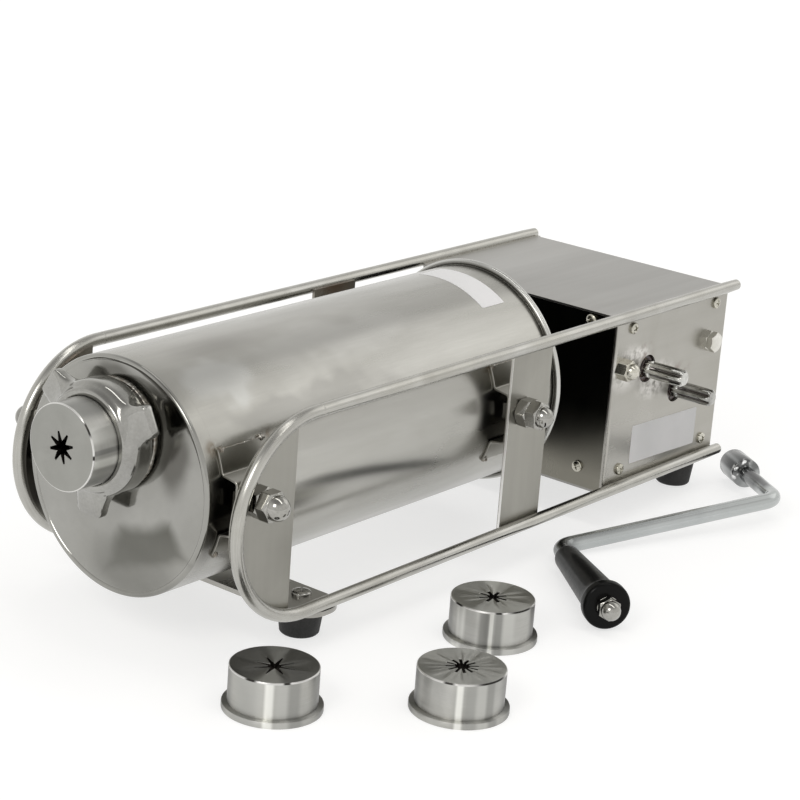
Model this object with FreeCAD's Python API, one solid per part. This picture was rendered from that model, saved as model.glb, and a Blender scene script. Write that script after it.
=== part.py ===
import FreeCAD, Part
import math
import os

# Table-top churro maker with a lying barrel, a rack-driven piston and two crank shafts.
# Millimetres. X runs along the barrel from the outlet to the gearbox, the crank side is -Y, +Z is up.
# Everything is built about the barrel's front plane on the table, then moved so that the origin is
# the centre of the whole footprint on the table.

V = FreeCAD.Vector
X_AXIS = V(1, 0, 0)
Y_AXIS = V(0, 1, 0)
Z_AXIS = V(0, 0, 1)
ORIGIN = V(0, 0, 0)

# ---- Barrel, cap and outlet ----
BARREL_R = 71.5
BARREL_WALL = 1.5
BARREL_LENGTH = 328.0
BARREL_ABOVE_PLATE = 6.5
BEAD_WIRE_R = 2.4
CAP_SKIRT = 6.0
CAP_EDGE_R = 6.5
CAP_EDGE_X = 2.0
CAP_DOME = 4.5
SPOUT_ABOVE_AXIS = 27.3
SPOUT_R = 30.0
SPOUT_WALL = 3.5
SPOUT_REACH = 22.8
BRACKET_LENGTH = 40.0
BRACKET_SHEET = 1.5
BRACKET_HALF_WEB = 16.0
BRACKET_HALF_FOOT = 18.0
BRACKET_HALF_SPAN = 31.0

# ---- Nozzles and the ring nut that holds one ----
NOZZLE_WITHIN_SPOUT = 4.5
FLANGE_WITHIN_SPOUT = 1.35
NOZZLE_FLANGE = 4.0
NOZZLE_LENGTH = 26.0
NOZZLE_WALL = 3.0
NOZZLE_FACE = 3.5
MOUNTED_STAR = "pointed_star"
LOOSE_NOZZLES = {
    "slit_star": (-1.0, -123.7),
    "twelve_slot": (76.0, -195.2),
    "eight_slot": (170.5, -145.7),
}
NUT_WALL = 4.0
NUT_LIP = 3.2
NUT_LENGTH = 19.0
NUT_WING_REACH = 12.6
NUT_WINGS = 3
NUT_WING_ANGLE = 27.0
THREAD_CLEARANCE = 0.2
SLIP_CLEARANCE = 0.3

# ---- Tube frame ----
BARREL_TO_FRAME = 12.5
RAIL_R = 4.0
RAIL_ABOVE_AXIS = 48.0
RAIL_BOTTOM_Z = 28.0
RAIL_FRONT_X = 2.0
RAIL_PAST_BOX = 2.0
STRAP = 2.0
FRONT_STRAP_REAR_X = 54.0
REAR_STRAP_FROM_END = 70.0
REAR_STRAP_WIDTH = 42.0
STRAP_BOLT_ABOVE_MIDDLE = 17.0
FRONT_BOLT_X = 20.0
REAR_BOLT_INTO_STRAP = 14.0
BRACKET_AHEAD = 13.0
BRACKET_BELOW_BOLT = 4.0
CROSS_PLATE = 3.0
CROSS_PLATE_WIDTH = 37.0
CROSS_PLATE_OVERHANG = 2.2
REAR_PLATE_WITHIN_FRAME = 2.0
REAR_PLATE_CORNER_R = 8.0
FRONT_PLATE_X = 65.0
REAR_PLATE_FROM_BACK = 39.0
FOOT_Y = 64.0
FOOT_TOP_R = 14.6
FOOT_BOTTOM_R = 12.1
FOOT_INSET = 24.5

# ---- Gearbox housing ----
LOADING_GAP = 47.6
BOX_BEHIND_WHEEL = 25.0
BOX_BELOW_RAIL_TOP = 0.5
BOX_SHEET = 1.5
PANEL = 3.0
PANEL_EDGE_R = 2.0
COVER_EDGE_R = 2.5
FRONT_PLATE = 2.0
TOP_OVERHANG = 2.0
TOP_LIP = 10.0
BOTTOM_LIP = 20.0
TAB_WIDTH = 14.0
PANEL_SCREW_FRONT = 17.4
PANEL_SCREW_REAR = 16.5
PANEL_SCREW_TOP = 10.5
PANEL_SCREW_LOW = 15.0
PLATE_SCREW_Y = 62.0
SHAFT_WINDOW_R = 9.7

# ---- Drive: two shafts, a pair of gears, and the rack with its pinion ----
FAST_FROM_BOX_FRONT = 79.4
FAST_BELOW_AXIS = 17.5
SHAFT_R = 6.0
SHAFT_OUT = 30.5
SPLINE_TEETH = 6
SPLINE_DEPTH = 1.5
SPLINE_LENGTH = 27.0
RUNNING_CLEARANCE = 0.05
BUSH_R = 12.0
BUSH_LENGTH = 10.0
COLLAR_R = 10.0
COLLAR_WIDTH = 8.0
COLLAR_GAP = 0.3
GEAR_MODULE = 1.5
WHEEL_TEETH = 42
SMALL_TEETH = 18
GEAR_WIDTH = 12.0
HUB_TO_COLLAR = 3.7
GEAR_TO_BUSH = 4.0
GEAR_LINE_ANGLE = 151.0
WHEEL_HUB_R = 14.0
SMALL_HUB_R = 11.0
HUB_LENGTH = 9.0
PRESSURE_ANGLE = 20.0
BACKLASH = 0.12
RACK_MODULE = 2.0
PINION_TEETH = 12
PINION_WIDTH = 20.0
RACK_TIP = 1.35
RACK_HEIGHT = 10.0
RACK_WIDTH = 16.0
RACK_SHORT_OF_BACK = 8.0
RACK_TEETH_LENGTH = 393.0
PIN_R = 2.0
GEAR_PLATE = 4.0
GEAR_PLATE_AHEAD = 60.4
GEAR_PLATE_WIDTH = 77.0
GUIDE_FROM_FRONT = 7.4
GUIDE_FROM_BACK = 22.0
GUIDE_BOLT_R = 4.0
ROLLER_R = 7.25
ROLLER_FLANGE_R = 9.0
ROLLER_FLANGE = 2.5
ROLLER_SIDE_GAP = 0.3
ROLLER_GAP = 0.08
CLIP_WIDTH = 1.2

# ---- Piston ----
PISTON_FRONT_X = 8.0
PISTON_THICK = 14.0
PISTON_CLEARANCE = 0.5
SEAL_CLEARANCE = 0.1
SEAL_WIDTH = 6.0
SEAL_DEPTH = 4.0
RACK_HEAD_R = 15.0
RACK_HEAD = 10.0
STUD_R = 5.0

# ---- Fasteners ----
M10_FLATS = 17.0
M10_NUT = 8.4
ACORN_HEX = 8.0
ACORN_DOME_R = 7.8
M8_FLATS = 13.0
M8_NUT = 6.5
M8_DOME_R = 6.2
SCREW_R = 2.0
SCREW_HEAD_R = 4.0
SCREW_HEAD = 2.6
SCREW_LENGTH = 6.0
FOOT_SCREW_R = 3.0
FOOT_SCREW_HEAD_R = 6.0
FOOT_SCREW_DEPTH = 12.0
HOLE_CLEARANCE = 0.1

# ---- Crank, lying on the table beside the machine ----
CRANK_ROD_R = 5.5
CRANK_STUB = 95.0
CRANK_ARM = 178.9
CRANK_LEG = 122.6
CRANK_TURN = 71.0
CRANK_BEND_R = 14.0
SOCKET_R = 10.5
SOCKET_LENGTH = 30.0
SOCKET_DEPTH = 25.0
GRIP_LENGTH = 100.0
GRIP_SMALL_R = 8.5
GRIP_LARGE_R = 12.2
GRIP_FLANGE_R = 15.0
GRIP_FLANGE = 8.0
GRIP_CLEARANCE = 0.08
WASHER = 1.5
CRANK_BEND_FROM_BACK = 203.9
CRANK_BEND_FROM_FRAME = 11.9
CRANK_ARM_YAW = -21.4

# ---- Values that follow from the ones above ----
PLATE_TOP_Z = RAIL_BOTTOM_Z - RAIL_R
BARREL_AXIS_Z = PLATE_TOP_Z + BARREL_ABOVE_PLATE + BARREL_R
BORE_R = BARREL_R - BARREL_WALL
SPOUT_Z = BARREL_AXIS_Z + SPOUT_ABOVE_AXIS
NOZZLE_R = SPOUT_R - NOZZLE_WITHIN_SPOUT
NOZZLE_FLANGE_R = SPOUT_R - FLANGE_WITHIN_SPOUT
NUT_LIP_R = SPOUT_R + THREAD_CLEARANCE
NUT_BODY_R = SPOUT_R + NUT_WALL
NUT_WING_R = NUT_BODY_R + NUT_WING_REACH
FRAME_HALF_Y = BARREL_R + BARREL_TO_FRAME
RAIL_Y = FRAME_HALF_Y + RAIL_R
RAIL_TOP_Z = BARREL_AXIS_Z + RAIL_ABOVE_AXIS
RAIL_BEND_R = (RAIL_TOP_Z - RAIL_BOTTOM_Z) / 2
RAIL_MID_Z = (RAIL_TOP_Z + RAIL_BOTTOM_Z) / 2
FOOT_HEIGHT = PLATE_TOP_Z - CROSS_PLATE
STRAP_INNER_Y = FRAME_HALF_Y - STRAP
STRAP_BOLT_Z = RAIL_MID_Z + STRAP_BOLT_ABOVE_MIDDLE
REAR_STRAP_X = BARREL_LENGTH - REAR_STRAP_FROM_END
REAR_BOLT_X = REAR_STRAP_X + REAR_BOLT_INTO_STRAP
BOX_BOTTOM_Z = PLATE_TOP_Z
BOX_TOP_Z = RAIL_TOP_Z - BOX_BELOW_RAIL_TOP
BOX_FRONT_X = BARREL_LENGTH + LOADING_GAP
WHEEL_TIP_R = GEAR_MODULE * (WHEEL_TEETH + 2) / 2
BOX_LENGTH = FAST_FROM_BOX_FRONT + WHEEL_TIP_R + BOX_BEHIND_WHEEL
BOX_REAR_X = BOX_FRONT_X + BOX_LENGTH
RAIL_REAR_X = BOX_REAR_X + RAIL_PAST_BOX
REAR_PLATE_X = BOX_REAR_X - REAR_PLATE_FROM_BACK
PANEL_INNER_Y = FRAME_HALF_Y - PANEL
PANEL_SCREWS = [
    (x, z)
    for x in (BOX_FRONT_X + PANEL_SCREW_FRONT, BOX_REAR_X - PANEL_SCREW_REAR)
    for z in (BOX_TOP_Z - PANEL_SCREW_TOP, BOX_BOTTOM_Z + PANEL_SCREW_LOW)
]
FAST_X = BOX_FRONT_X + FAST_FROM_BOX_FRONT
FAST_Z = BARREL_AXIS_Z - FAST_BELOW_AXIS
COLLAR_Y = -PANEL_INNER_Y + BUSH_LENGTH + COLLAR_GAP
HUB_CENTRE_Y = COLLAR_Y + COLLAR_WIDTH + HUB_TO_COLLAR + HUB_LENGTH / 2
GEAR_CENTRE_Y = HUB_CENTRE_Y + HUB_LENGTH / 2 + GEAR_WIDTH / 2
GEAR_PLATE_Y = GEAR_CENTRE_Y + GEAR_WIDTH / 2 + GEAR_TO_BUSH + BUSH_LENGTH
GEAR_PLATE_X = FAST_X - GEAR_PLATE_AHEAD
GUIDE_XS = (BOX_FRONT_X + GUIDE_FROM_FRONT, BOX_REAR_X - GUIDE_FROM_BACK)
RACK_REAR_X = BOX_REAR_X - RACK_SHORT_OF_BACK
RACK_TEETH_FRONT_X = RACK_REAR_X - RACK_TEETH_LENGTH
PISTON_R = BORE_R - PISTON_CLEARANCE
SEAL_R = BORE_R - SEAL_CLEARANCE
GEAR_CENTRES = GEAR_MODULE * (WHEEL_TEETH + SMALL_TEETH) / 2
SLOW_X = FAST_X + GEAR_CENTRES * math.cos(math.radians(GEAR_LINE_ANGLE))
SLOW_Z = FAST_Z + GEAR_CENTRES * math.sin(math.radians(GEAR_LINE_ANGLE))
PITCH_Z = FAST_Z + RACK_MODULE * PINION_TEETH / 2
RACK_TIP_Z = PITCH_Z - RACK_TIP
RACK_TOP_Z = RACK_TIP_Z + RACK_HEIGHT
GUIDE_Z = RACK_TOP_Z + ROLLER_GAP + ROLLER_R
NOZZLE_SEAT_X = -SPOUT_REACH
RACK_FRONT_X = PISTON_FRONT_X + PISTON_THICK + RACK_HEAD
CRANK_BEND_AT = (RAIL_REAR_X - CRANK_BEND_FROM_BACK, -FRAME_HALF_Y - CRANK_BEND_FROM_FRAME)


# ---- Small drawing helpers ----
def on_xz(point):
    """Lift a point (x, z) into the XZ plane."""
    return V(point[0], 0, point[1])


def on_yz(point):
    """Lift a point (y, z) into the YZ plane."""
    return V(0, point[0], point[1])


def on_xy(point):
    """Lift a point (x, y) into the XY plane."""
    return V(point[0], point[1], 0)


def face(start, steps, lift=on_xz):
    """A flat face: each step is an end point, or a pair (middle, end) for an arc; it closes itself."""
    edges = []
    here = lift(start)
    for step in list(steps) + [start]:
        if isinstance(step[0], tuple):
            end = lift(step[1])
            edges.append(Part.Arc(here, lift(step[0]), end).toShape())
        else:
            end = lift(step)
            edges.append(Part.makeLine(here, end))
        here = end
    return Part.Face(Part.Wire(edges))


def polygon(points, lift=on_xz):
    """A flat face with straight edges."""
    return face(points[0], points[1:], lift)


def box(low, high):
    """A block between two opposite corners."""
    size = [b - a for a, b in zip(low, high)]
    return Part.makeBox(*size, V(*low))


def rod(start, end, radius):
    """A solid cylinder between two points."""
    return Part.makeCylinder(radius, (end - start).Length, start, end - start)


def tube(start, end, outer, inner):
    """A hollow cylinder between two points."""
    return rod(start, end, outer).cut(rod(start, end, inner))


def turned(start, steps, at=ORIGIN, axis=Z_AXIS):
    """A turned solid: the profile is drawn as (radius, height) and its +Z is laid along axis at a point."""
    solid = face(start, steps).revolve(ORIGIN, Z_AXIS, 360)
    return placed(solid, at, axis)


def placed(shape, at, axis=Z_AXIS):
    """The shape with its own +Z laid along axis and its origin at a point."""
    shape = shape.copy()
    shape.Placement = FreeCAD.Placement(at, FreeCAD.Rotation(Z_AXIS, axis)).multiply(shape.Placement)
    return shape


def mirrored(shape):
    """The same piece on the far side."""
    return shape.mirror(ORIGIN, Y_AXIS)


def joined(shapes):
    """Overlapping or touching pieces fused to one solid."""
    return shapes[0].multiFuse(shapes[1:]).removeSplitter()


def hexagon(flats, height):
    """A hexagonal prism on +Z with two flats facing X."""
    corner = flats / math.sqrt(3)
    angles = [math.radians(30 + 60 * k) for k in range(6)]
    outline = [(corner * math.cos(a), corner * math.sin(a)) for a in angles]
    return polygon(outline, on_xy).extrude(V(0, 0, height))


def crown(edge, top):
    """The arc from an edge (radius, height) up to the axis, part of a sphere centred on the axis."""
    rise = top - edge[1]
    radius = (rise ** 2 + edge[0] ** 2) / (2 * rise)
    half = math.asin(edge[0] / abs(radius)) / 2
    middle = (abs(radius) * math.sin(half), top - radius * (1 - math.cos(half)))
    return middle, (0, top)


def bent_rod(points, radius, bend_radius):
    """A round rod along straight runs, with an arc of one radius at every corner."""
    pieces = []
    here = points[0]
    for before, corner, after in zip(points, points[1:], points[2:]):
        back = (before - corner).normalize()
        ahead = (after - corner).normalize()
        turn = math.pi - back.getAngle(ahead)
        reach = bend_radius * math.tan(turn / 2)
        start = corner + back * reach
        if (start - here).Length > 0.01:
            pieces.append(rod(here, start, radius))
        centre = corner + (back + ahead).normalize() * (bend_radius / math.cos(turn / 2))
        axis = (start - centre).cross(-back)
        disc = Part.Face(Part.Wire(Part.makeCircle(radius, start, back)))
        pieces.append(disc.revolve(centre, axis, math.degrees(turn)))
        here = corner + ahead * reach
    pieces.append(rod(here, points[-1], radius))
    return joined(pieces)


# ---- Fasteners ----
def hex_nut(flats, height, hole):
    """A plain nut standing on +Z."""
    return hexagon(flats, height).cut(rod(ORIGIN, V(0, 0, height), hole))


def acorn_nut(flats, height, dome_r, hole):
    """A hexagon with a round dome over it and a blind hole from below."""
    dome = Part.makeSphere(dome_r, V(0, 0, height + 0.6))
    dome = dome.common(box((-dome_r, -dome_r, height / 2), (dome_r, dome_r, height + 2 * dome_r)))
    nut = joined([hexagon(flats, height), dome])
    return nut.cut(rod(ORIGIN, V(0, 0, height), hole))


def pan_screw(radius, head_r, head, length):
    """A pan head above z = 0 with its shank below."""
    profile = [(radius, -length), (radius, 0), (head_r, 0), (head_r, head * 0.4)]
    return turned((0, -length), profile + [crown((head_r, head * 0.4), head)])


def hex_bolt(radius, flats, head, length):
    """A hexagonal head above z = 0 with its shank below."""
    return joined([hexagon(flats, head), rod(V(0, 0, -length), V(0, 0, head / 2), radius)])


# ---- Toothed sections ----
def involute(angle):
    return math.tan(angle) - angle


def gear_face(teeth, module, first_tooth, flank_points):
    """The XZ section of a spur gear about the origin with one tooth at the angle first_tooth."""
    pressure = math.radians(PRESSURE_ANGLE)
    pitch_r = module * teeth / 2
    base_r = pitch_r * math.cos(pressure)
    tip_r = pitch_r + module
    root_r = pitch_r - 1.25 * module if teeth > PINION_TEETH else pitch_r - RACK_TIP - 0.2 * module
    start_r = max(base_r, root_r)
    half_pitch = math.pi / (2 * teeth) - BACKLASH / (2 * pitch_r)
    flank = []
    if root_r < base_r:
        flank.append((root_r, half_pitch + involute(pressure)))
    for k in range(flank_points):
        r = start_r + (tip_r - start_r) * k / (flank_points - 1)
        slope = math.acos(min(1.0, base_r / r))
        flank.append((r, half_pitch + involute(pressure) - involute(slope)))
    outline = []
    for tooth in range(teeth):
        middle = first_tooth + 2 * math.pi * tooth / teeth
        outline += [(r * math.cos(middle - a), r * math.sin(middle - a)) for r, a in flank]
        outline += [(r * math.cos(middle + a), r * math.sin(middle + a)) for r, a in reversed(flank)]
    return polygon(outline)


def toothed_wheel(teeth, module, width, centre, first_tooth, flank_points=3):
    """A spur gear along Y, centred on a point."""
    wheel = gear_face(teeth, module, first_tooth, flank_points).extrude(V(0, width, 0))
    wheel.translate(centre - V(0, width / 2, 0))
    return wheel


def arc_points(radius, middle, half):
    """Start, middle and end of an arc about the origin."""
    return [(radius * math.cos(middle + a), radius * math.sin(middle + a)) for a in (-half, 0, half)]


def spline_face(outer, root):
    """The XY section of a splined shaft end: square teeth with round lands."""
    step = 2 * math.pi / SPLINE_TEETH
    half = step * 0.27
    start = None
    steps = []
    for tooth in range(SPLINE_TEETH):
        middle = step * tooth
        land = arc_points(outer, middle, half)
        floor = arc_points(root, middle + step / 2, step / 2 - half * outer / root)
        if start is None:
            start = land[0]
        else:
            steps.append(land[0])
        steps += [(land[1], land[2]), floor[0], (floor[1], floor[2])]
    return face(start, steps, on_xy)


def star_face(rays, outer, inner, tip, root, turn):
    """A star hole in XY: each ray narrows from root to tip width; turn is the first ray's angle."""
    outline = []
    for ray in range(rays):
        middle = 2 * math.pi * ray / rays + math.radians(turn)
        along = (math.cos(middle), math.sin(middle))
        across = (-along[1], along[0])
        for reach, side in ((inner, -root), (outer, -tip), (outer, tip), (inner, root)):
            x = along[0] * reach + across[0] * side / 2
            y = along[1] * reach + across[1] * side / 2
            outline.append((x, y))
    return polygon(outline, on_xy)


# ---- Barrel group ----
def cap_solid(inset):
    """Everything behind the cap's skin, drawn inset from its outer skin, turned about the barrel axis."""
    edge = CAP_EDGE_R - inset
    flat_r = BARREL_R - CAP_EDGE_R
    slant = edge * math.sqrt(0.5)
    corner = (flat_r + slant, CAP_EDGE_X - slant)
    shoulder = (flat_r, CAP_EDGE_X - edge)
    steps = [(BARREL_R - inset, CAP_SKIRT), (BARREL_R - inset, CAP_EDGE_X), (corner, shoulder)]
    dome = crown(shoulder, shoulder[1] - CAP_DOME)
    return turned((0, CAP_SKIRT), steps + [dome], V(0, 0, BARREL_AXIS_Z), X_AXIS)


def spout_hole():
    """The bore that runs from the outlet into the barrel."""
    return rod(V(-SPOUT_REACH, 0, SPOUT_Z), V(CAP_SKIRT, 0, SPOUT_Z), SPOUT_R - SPOUT_WALL)


def barrel_tube():
    """Thin tube, open at the rear, where its edge is rolled over a wire."""
    bead_r = BARREL_R + BEAD_WIRE_R * 0.6
    start = V(CAP_SKIRT, 0, BARREL_AXIS_Z)
    end = V(BARREL_LENGTH - BEAD_WIRE_R, 0, BARREL_AXIS_Z)
    wall = rod(start, end, BARREL_R)
    bead = Part.makeTorus(bead_r, BEAD_WIRE_R, end, X_AXIS)
    return joined([wall, bead]).cut(rod(start, V(BARREL_LENGTH + 1, 0, BARREL_AXIS_Z), BORE_R))


def front_cap():
    return cap_solid(0).cut(cap_solid(BARREL_WALL)).cut(spout_hole())


def spout():
    """The threaded outlet, high on the cap, trimmed to the cap's curve."""
    start = V(-SPOUT_REACH, 0, SPOUT_Z)
    outside = rod(start, V(0, 0, SPOUT_Z), SPOUT_R)
    return outside.cut(spout_hole()).cut(cap_solid(0))


def strip(points, thickness, lift):
    """A bent sheet's section: a line of points given a thickness to its left."""
    normals = []
    for a, b in zip(points, points[1:]):
        length = math.hypot(b[0] - a[0], b[1] - a[1])
        normals.append((-(b[1] - a[1]) / length, (b[0] - a[0]) / length))
    inner = []
    for k, p in enumerate(points):
        n = normals[max(k - 1, 0)]
        m = normals[min(k, len(normals) - 1)]
        scale = thickness / (1 + n[0] * m[0] + n[1] * m[1])
        inner.append((p[0] + (n[0] + m[0]) * scale, p[1] + (n[1] + m[1]) * scale))
    return polygon(list(points) + inner[::-1], lift)


def barrel_bracket(bolt_x):
    """Hat-shaped sheet on the barrel's near side: curved flanges, and a web against the strap."""
    start = V(bolt_x - BRACKET_AHEAD, 0, BARREL_AXIS_Z)
    end = start + V(BRACKET_LENGTH, 0, 0)
    mid = STRAP_BOLT_Z - BRACKET_BELOW_BOLT
    web_y = -STRAP_INNER_Y
    foot_y = -math.sqrt(BARREL_R ** 2 - BRACKET_HALF_FOOT ** 2)
    upper = [(foot_y + BRACKET_SHEET, mid + BRACKET_HALF_FOOT), (web_y, mid + BRACKET_HALF_WEB)]
    lower = [(y, 2 * mid - z) for y, z in reversed(upper)]
    hat = strip(upper + lower, BRACKET_SHEET, on_yz).extrude(V(BRACKET_LENGTH, 0, 0))
    hat.translate(V(start.x, 0, 0))
    ring = tube(start, end, BARREL_R + BRACKET_SHEET, BARREL_R)
    outer_y = -BARREL_R - 5
    span = BRACKET_HALF_SPAN
    gap = BRACKET_HALF_FOOT - BRACKET_SHEET
    flanges = ring.common(box((start.x, outer_y, mid - span), (end.x, 0, mid + span)))
    flanges = flanges.cut(box((start.x - 1, outer_y, mid - gap), (end.x + 1, 0, mid + gap)))
    hat = hat.cut(rod(start, end, BARREL_R))
    hole = rod(V(bolt_x, web_y - 1, STRAP_BOLT_Z), V(bolt_x, foot_y, STRAP_BOLT_Z), STUD_R + HOLE_CLEARANCE)
    return joined([hat, flanges]).cut(hole)


# ---- Nozzles and ring nut ----
def nozzle_cup(star):
    """A nozzle standing on its flange with the star plate on top."""
    top = NOZZLE_LENGTH
    bore_r = NOZZLE_R - NOZZLE_WALL
    steps = [
        (NOZZLE_FLANGE_R - 0.5, 0),
        (NOZZLE_FLANGE_R, 0.5),
        (NOZZLE_FLANGE_R, NOZZLE_FLANGE - 0.8),
        (NOZZLE_FLANGE_R - 0.8, NOZZLE_FLANGE),
        (NOZZLE_R, NOZZLE_FLANGE),
        (NOZZLE_R, top - 0.6),
        (NOZZLE_R - 0.6, top),
        (0, top),
        (0, top - NOZZLE_FACE),
        (bore_r, top - NOZZLE_FACE),
    ]
    cutter = star.extrude(V(0, 0, NOZZLE_FACE + 2))
    cutter.translate(V(0, 0, top - NOZZLE_FACE - 1))
    return turned((bore_r, 0), steps).cut(cutter)


def star_of(name):
    """The hole in each nozzle's face: rays, reach, hub radius, widths at tip and root, and turn."""
    stars = {
        "pointed_star": star_face(8, 9.3, 4.0, 1.3, 3.05, 16),
        "slit_star": star_face(8, 12.5, 3.6, 1.3, 2.4, 19),
        "twelve_slot": star_face(12, 9.4, 3.9, 1.7, 1.7, 15),
        "eight_slot": star_face(8, 8.6, 3.1, 2.2, 2.2, 12),
    }
    return stars[name]


def mounted_nozzle():
    """The nozzle in use: its flange seats on the outlet and its face looks forwards."""
    return placed(nozzle_cup(star_of(MOUNTED_STAR)), V(NOZZLE_SEAT_X, 0, SPOUT_Z), -X_AXIS)


def nut_wing(angle):
    """One hollow-sided wing of the ring nut, about the nut's own +Z with its front up."""
    front = NUT_LENGTH - 3.0
    sections = []
    for radius, half, depth, top in (
        (NUT_BODY_R - 5.0, 17.0, 13.5, front),
        (NUT_BODY_R + 3.0, 11.0, 10.0, front - 1.2),
        (NUT_WING_R, 8.8, 6.5, front - 3.0),
    ):
        corners = [(-half, top), (half, top), (half, top - depth), (-half, top - depth), (-half, top)]
        sections.append(Part.makePolygon([V(radius, y, z) for y, z in corners]))
    wing = Part.makeLoft(sections, True, False)
    wing.rotate(ORIGIN, Z_AXIS, angle)
    return wing


def ring_nut():
    """Cast nut: a lip that holds the nozzle's flange, a round body with a thread bore, and three wings."""
    body_bore = SPOUT_R + THREAD_CLEARANCE
    lip_bore = NOZZLE_R + SLIP_CLEARANCE
    top = NUT_LENGTH
    steps = [
        (NUT_BODY_R - 1, 0),
        (NUT_BODY_R, 1),
        (NUT_BODY_R, top * 0.55),
        ((NUT_BODY_R - 1.0, top * 0.74), (NUT_LIP_R, top - 2.6)),
        ((NUT_LIP_R - 0.7, top - 0.8), (NUT_LIP_R - 2.4, top)),
        (lip_bore, top),
    ]
    outer = turned((lip_bore, 0), steps)
    nut = outer
    for k in range(NUT_WINGS):
        nut = nut.fuse(nut_wing(90 - NUT_WING_ANGLE + k * 360 / NUT_WINGS))
    nut = nut.cut(rod(V(0, 0, -1), V(0, 0, top - NUT_LIP), body_bore))
    nut = nut.cut(rod(V(0, 0, 0), V(0, 0, top + 5), lip_bore))
    front_x = NOZZLE_SEAT_X - NOZZLE_FLANGE - NUT_LIP
    return placed(nut, V(front_x + top, 0, SPOUT_Z), -X_AXIS)


# ---- Tube frame ----
def side_rail():
    """One near-side rail: a rod bent to a long U lying on its side."""
    points = [
        V(RAIL_REAR_X, -RAIL_Y, RAIL_TOP_Z),
        V(RAIL_FRONT_X, -RAIL_Y, RAIL_TOP_Z),
        V(RAIL_FRONT_X, -RAIL_Y, RAIL_BOTTOM_Z),
        V(RAIL_REAR_X, -RAIL_Y, RAIL_BOTTOM_Z),
    ]
    return bent_rod(points, RAIL_R, RAIL_BEND_R)


def strap_hole(bolt_x):
    start = V(bolt_x, -FRAME_HALF_Y - 1, STRAP_BOLT_Z)
    return rod(start, V(bolt_x, -STRAP_INNER_Y + 1, STRAP_BOLT_Z), STUD_R + HOLE_CLEARANCE)


def front_strap():
    """Flat plate that fills the rail's front bend, straight at the rear."""
    bend_x = RAIL_FRONT_X + RAIL_BEND_R
    half = math.sqrt(RAIL_BEND_R ** 2 - (bend_x - FRONT_STRAP_REAR_X) ** 2)
    arc = ((RAIL_FRONT_X, RAIL_MID_Z), (FRONT_STRAP_REAR_X, RAIL_MID_Z + half))
    plate = face((FRONT_STRAP_REAR_X, RAIL_MID_Z - half), [arc]).extrude(V(0, STRAP, 0))
    plate.translate(V(0, -FRAME_HALF_Y, 0))
    return plate.cut(strap_hole(FRONT_BOLT_X))


def rear_strap():
    low = (REAR_STRAP_X, -FRAME_HALF_Y, RAIL_BOTTOM_Z)
    high = (REAR_STRAP_X + REAR_STRAP_WIDTH, -STRAP_INNER_Y, RAIL_TOP_Z)
    return box(low, high).cut(strap_hole(REAR_BOLT_X))


def foot_places():
    """The four foot axes, by name."""
    places = {}
    for end, x in (("front", FRONT_PLATE_X + FOOT_INSET), ("rear", REAR_PLATE_X + FOOT_INSET)):
        places[end + "_near"] = (x, -FOOT_Y)
        places[end + "_far"] = (x, FOOT_Y)
    return places


def cross_plate(front_x, reach, round_r):
    """Flat bar across the frame with rounded corners."""
    rear_x = front_x + CROSS_PLATE_WIDTH
    lean = round_r * (1 - math.cos(math.pi / 4))
    plate = face(
        (front_x, -reach + round_r),
        [
            ((front_x + lean, -reach + lean), (front_x + round_r, -reach)),
            (rear_x - round_r, -reach),
            ((rear_x - lean, -reach + lean), (rear_x, -reach + round_r)),
            (rear_x, reach - round_r),
            ((rear_x - lean, reach - lean), (rear_x - round_r, reach)),
            (front_x + round_r, reach),
            ((front_x + lean, reach - lean), (front_x, reach - round_r)),
        ],
        on_xy,
    ).extrude(V(0, 0, CROSS_PLATE))
    plate.translate(V(0, 0, FOOT_HEIGHT))
    for x, y in foot_places().values():
        plate = plate.cut(rod(V(x, y, 0), V(x, y, PLATE_TOP_Z + 1), FOOT_SCREW_R + HOLE_CLEARANCE))
    return plate


def rubber_foot(x, y):
    """Tapered rubber foot with a hole for its screw."""
    hole = FOOT_SCREW_R + HOLE_CLEARANCE
    hole_z = FOOT_HEIGHT - FOOT_SCREW_DEPTH - 1
    steps = [
        (FOOT_BOTTOM_R - 1.2, 0),
        (FOOT_BOTTOM_R, 1.2),
        (FOOT_TOP_R - 0.3, FOOT_HEIGHT - 2),
        (FOOT_TOP_R, FOOT_HEIGHT),
        (hole, FOOT_HEIGHT),
        (hole, hole_z),
        (0, hole_z),
    ]
    return turned((0, 0), steps, V(x, y, 0))


def foot_screw(x, y):
    """The rear ones stand on the gearbox floor, the front ones on the cross plate."""
    on_floor = x > BOX_FRONT_X
    head_z = PLATE_TOP_Z + (BOX_SHEET if on_floor else 0)
    length = head_z - FOOT_HEIGHT + FOOT_SCREW_DEPTH
    return placed(pan_screw(FOOT_SCREW_R, FOOT_SCREW_HEAD_R, 3.4, length), V(x, y, head_z))


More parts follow.
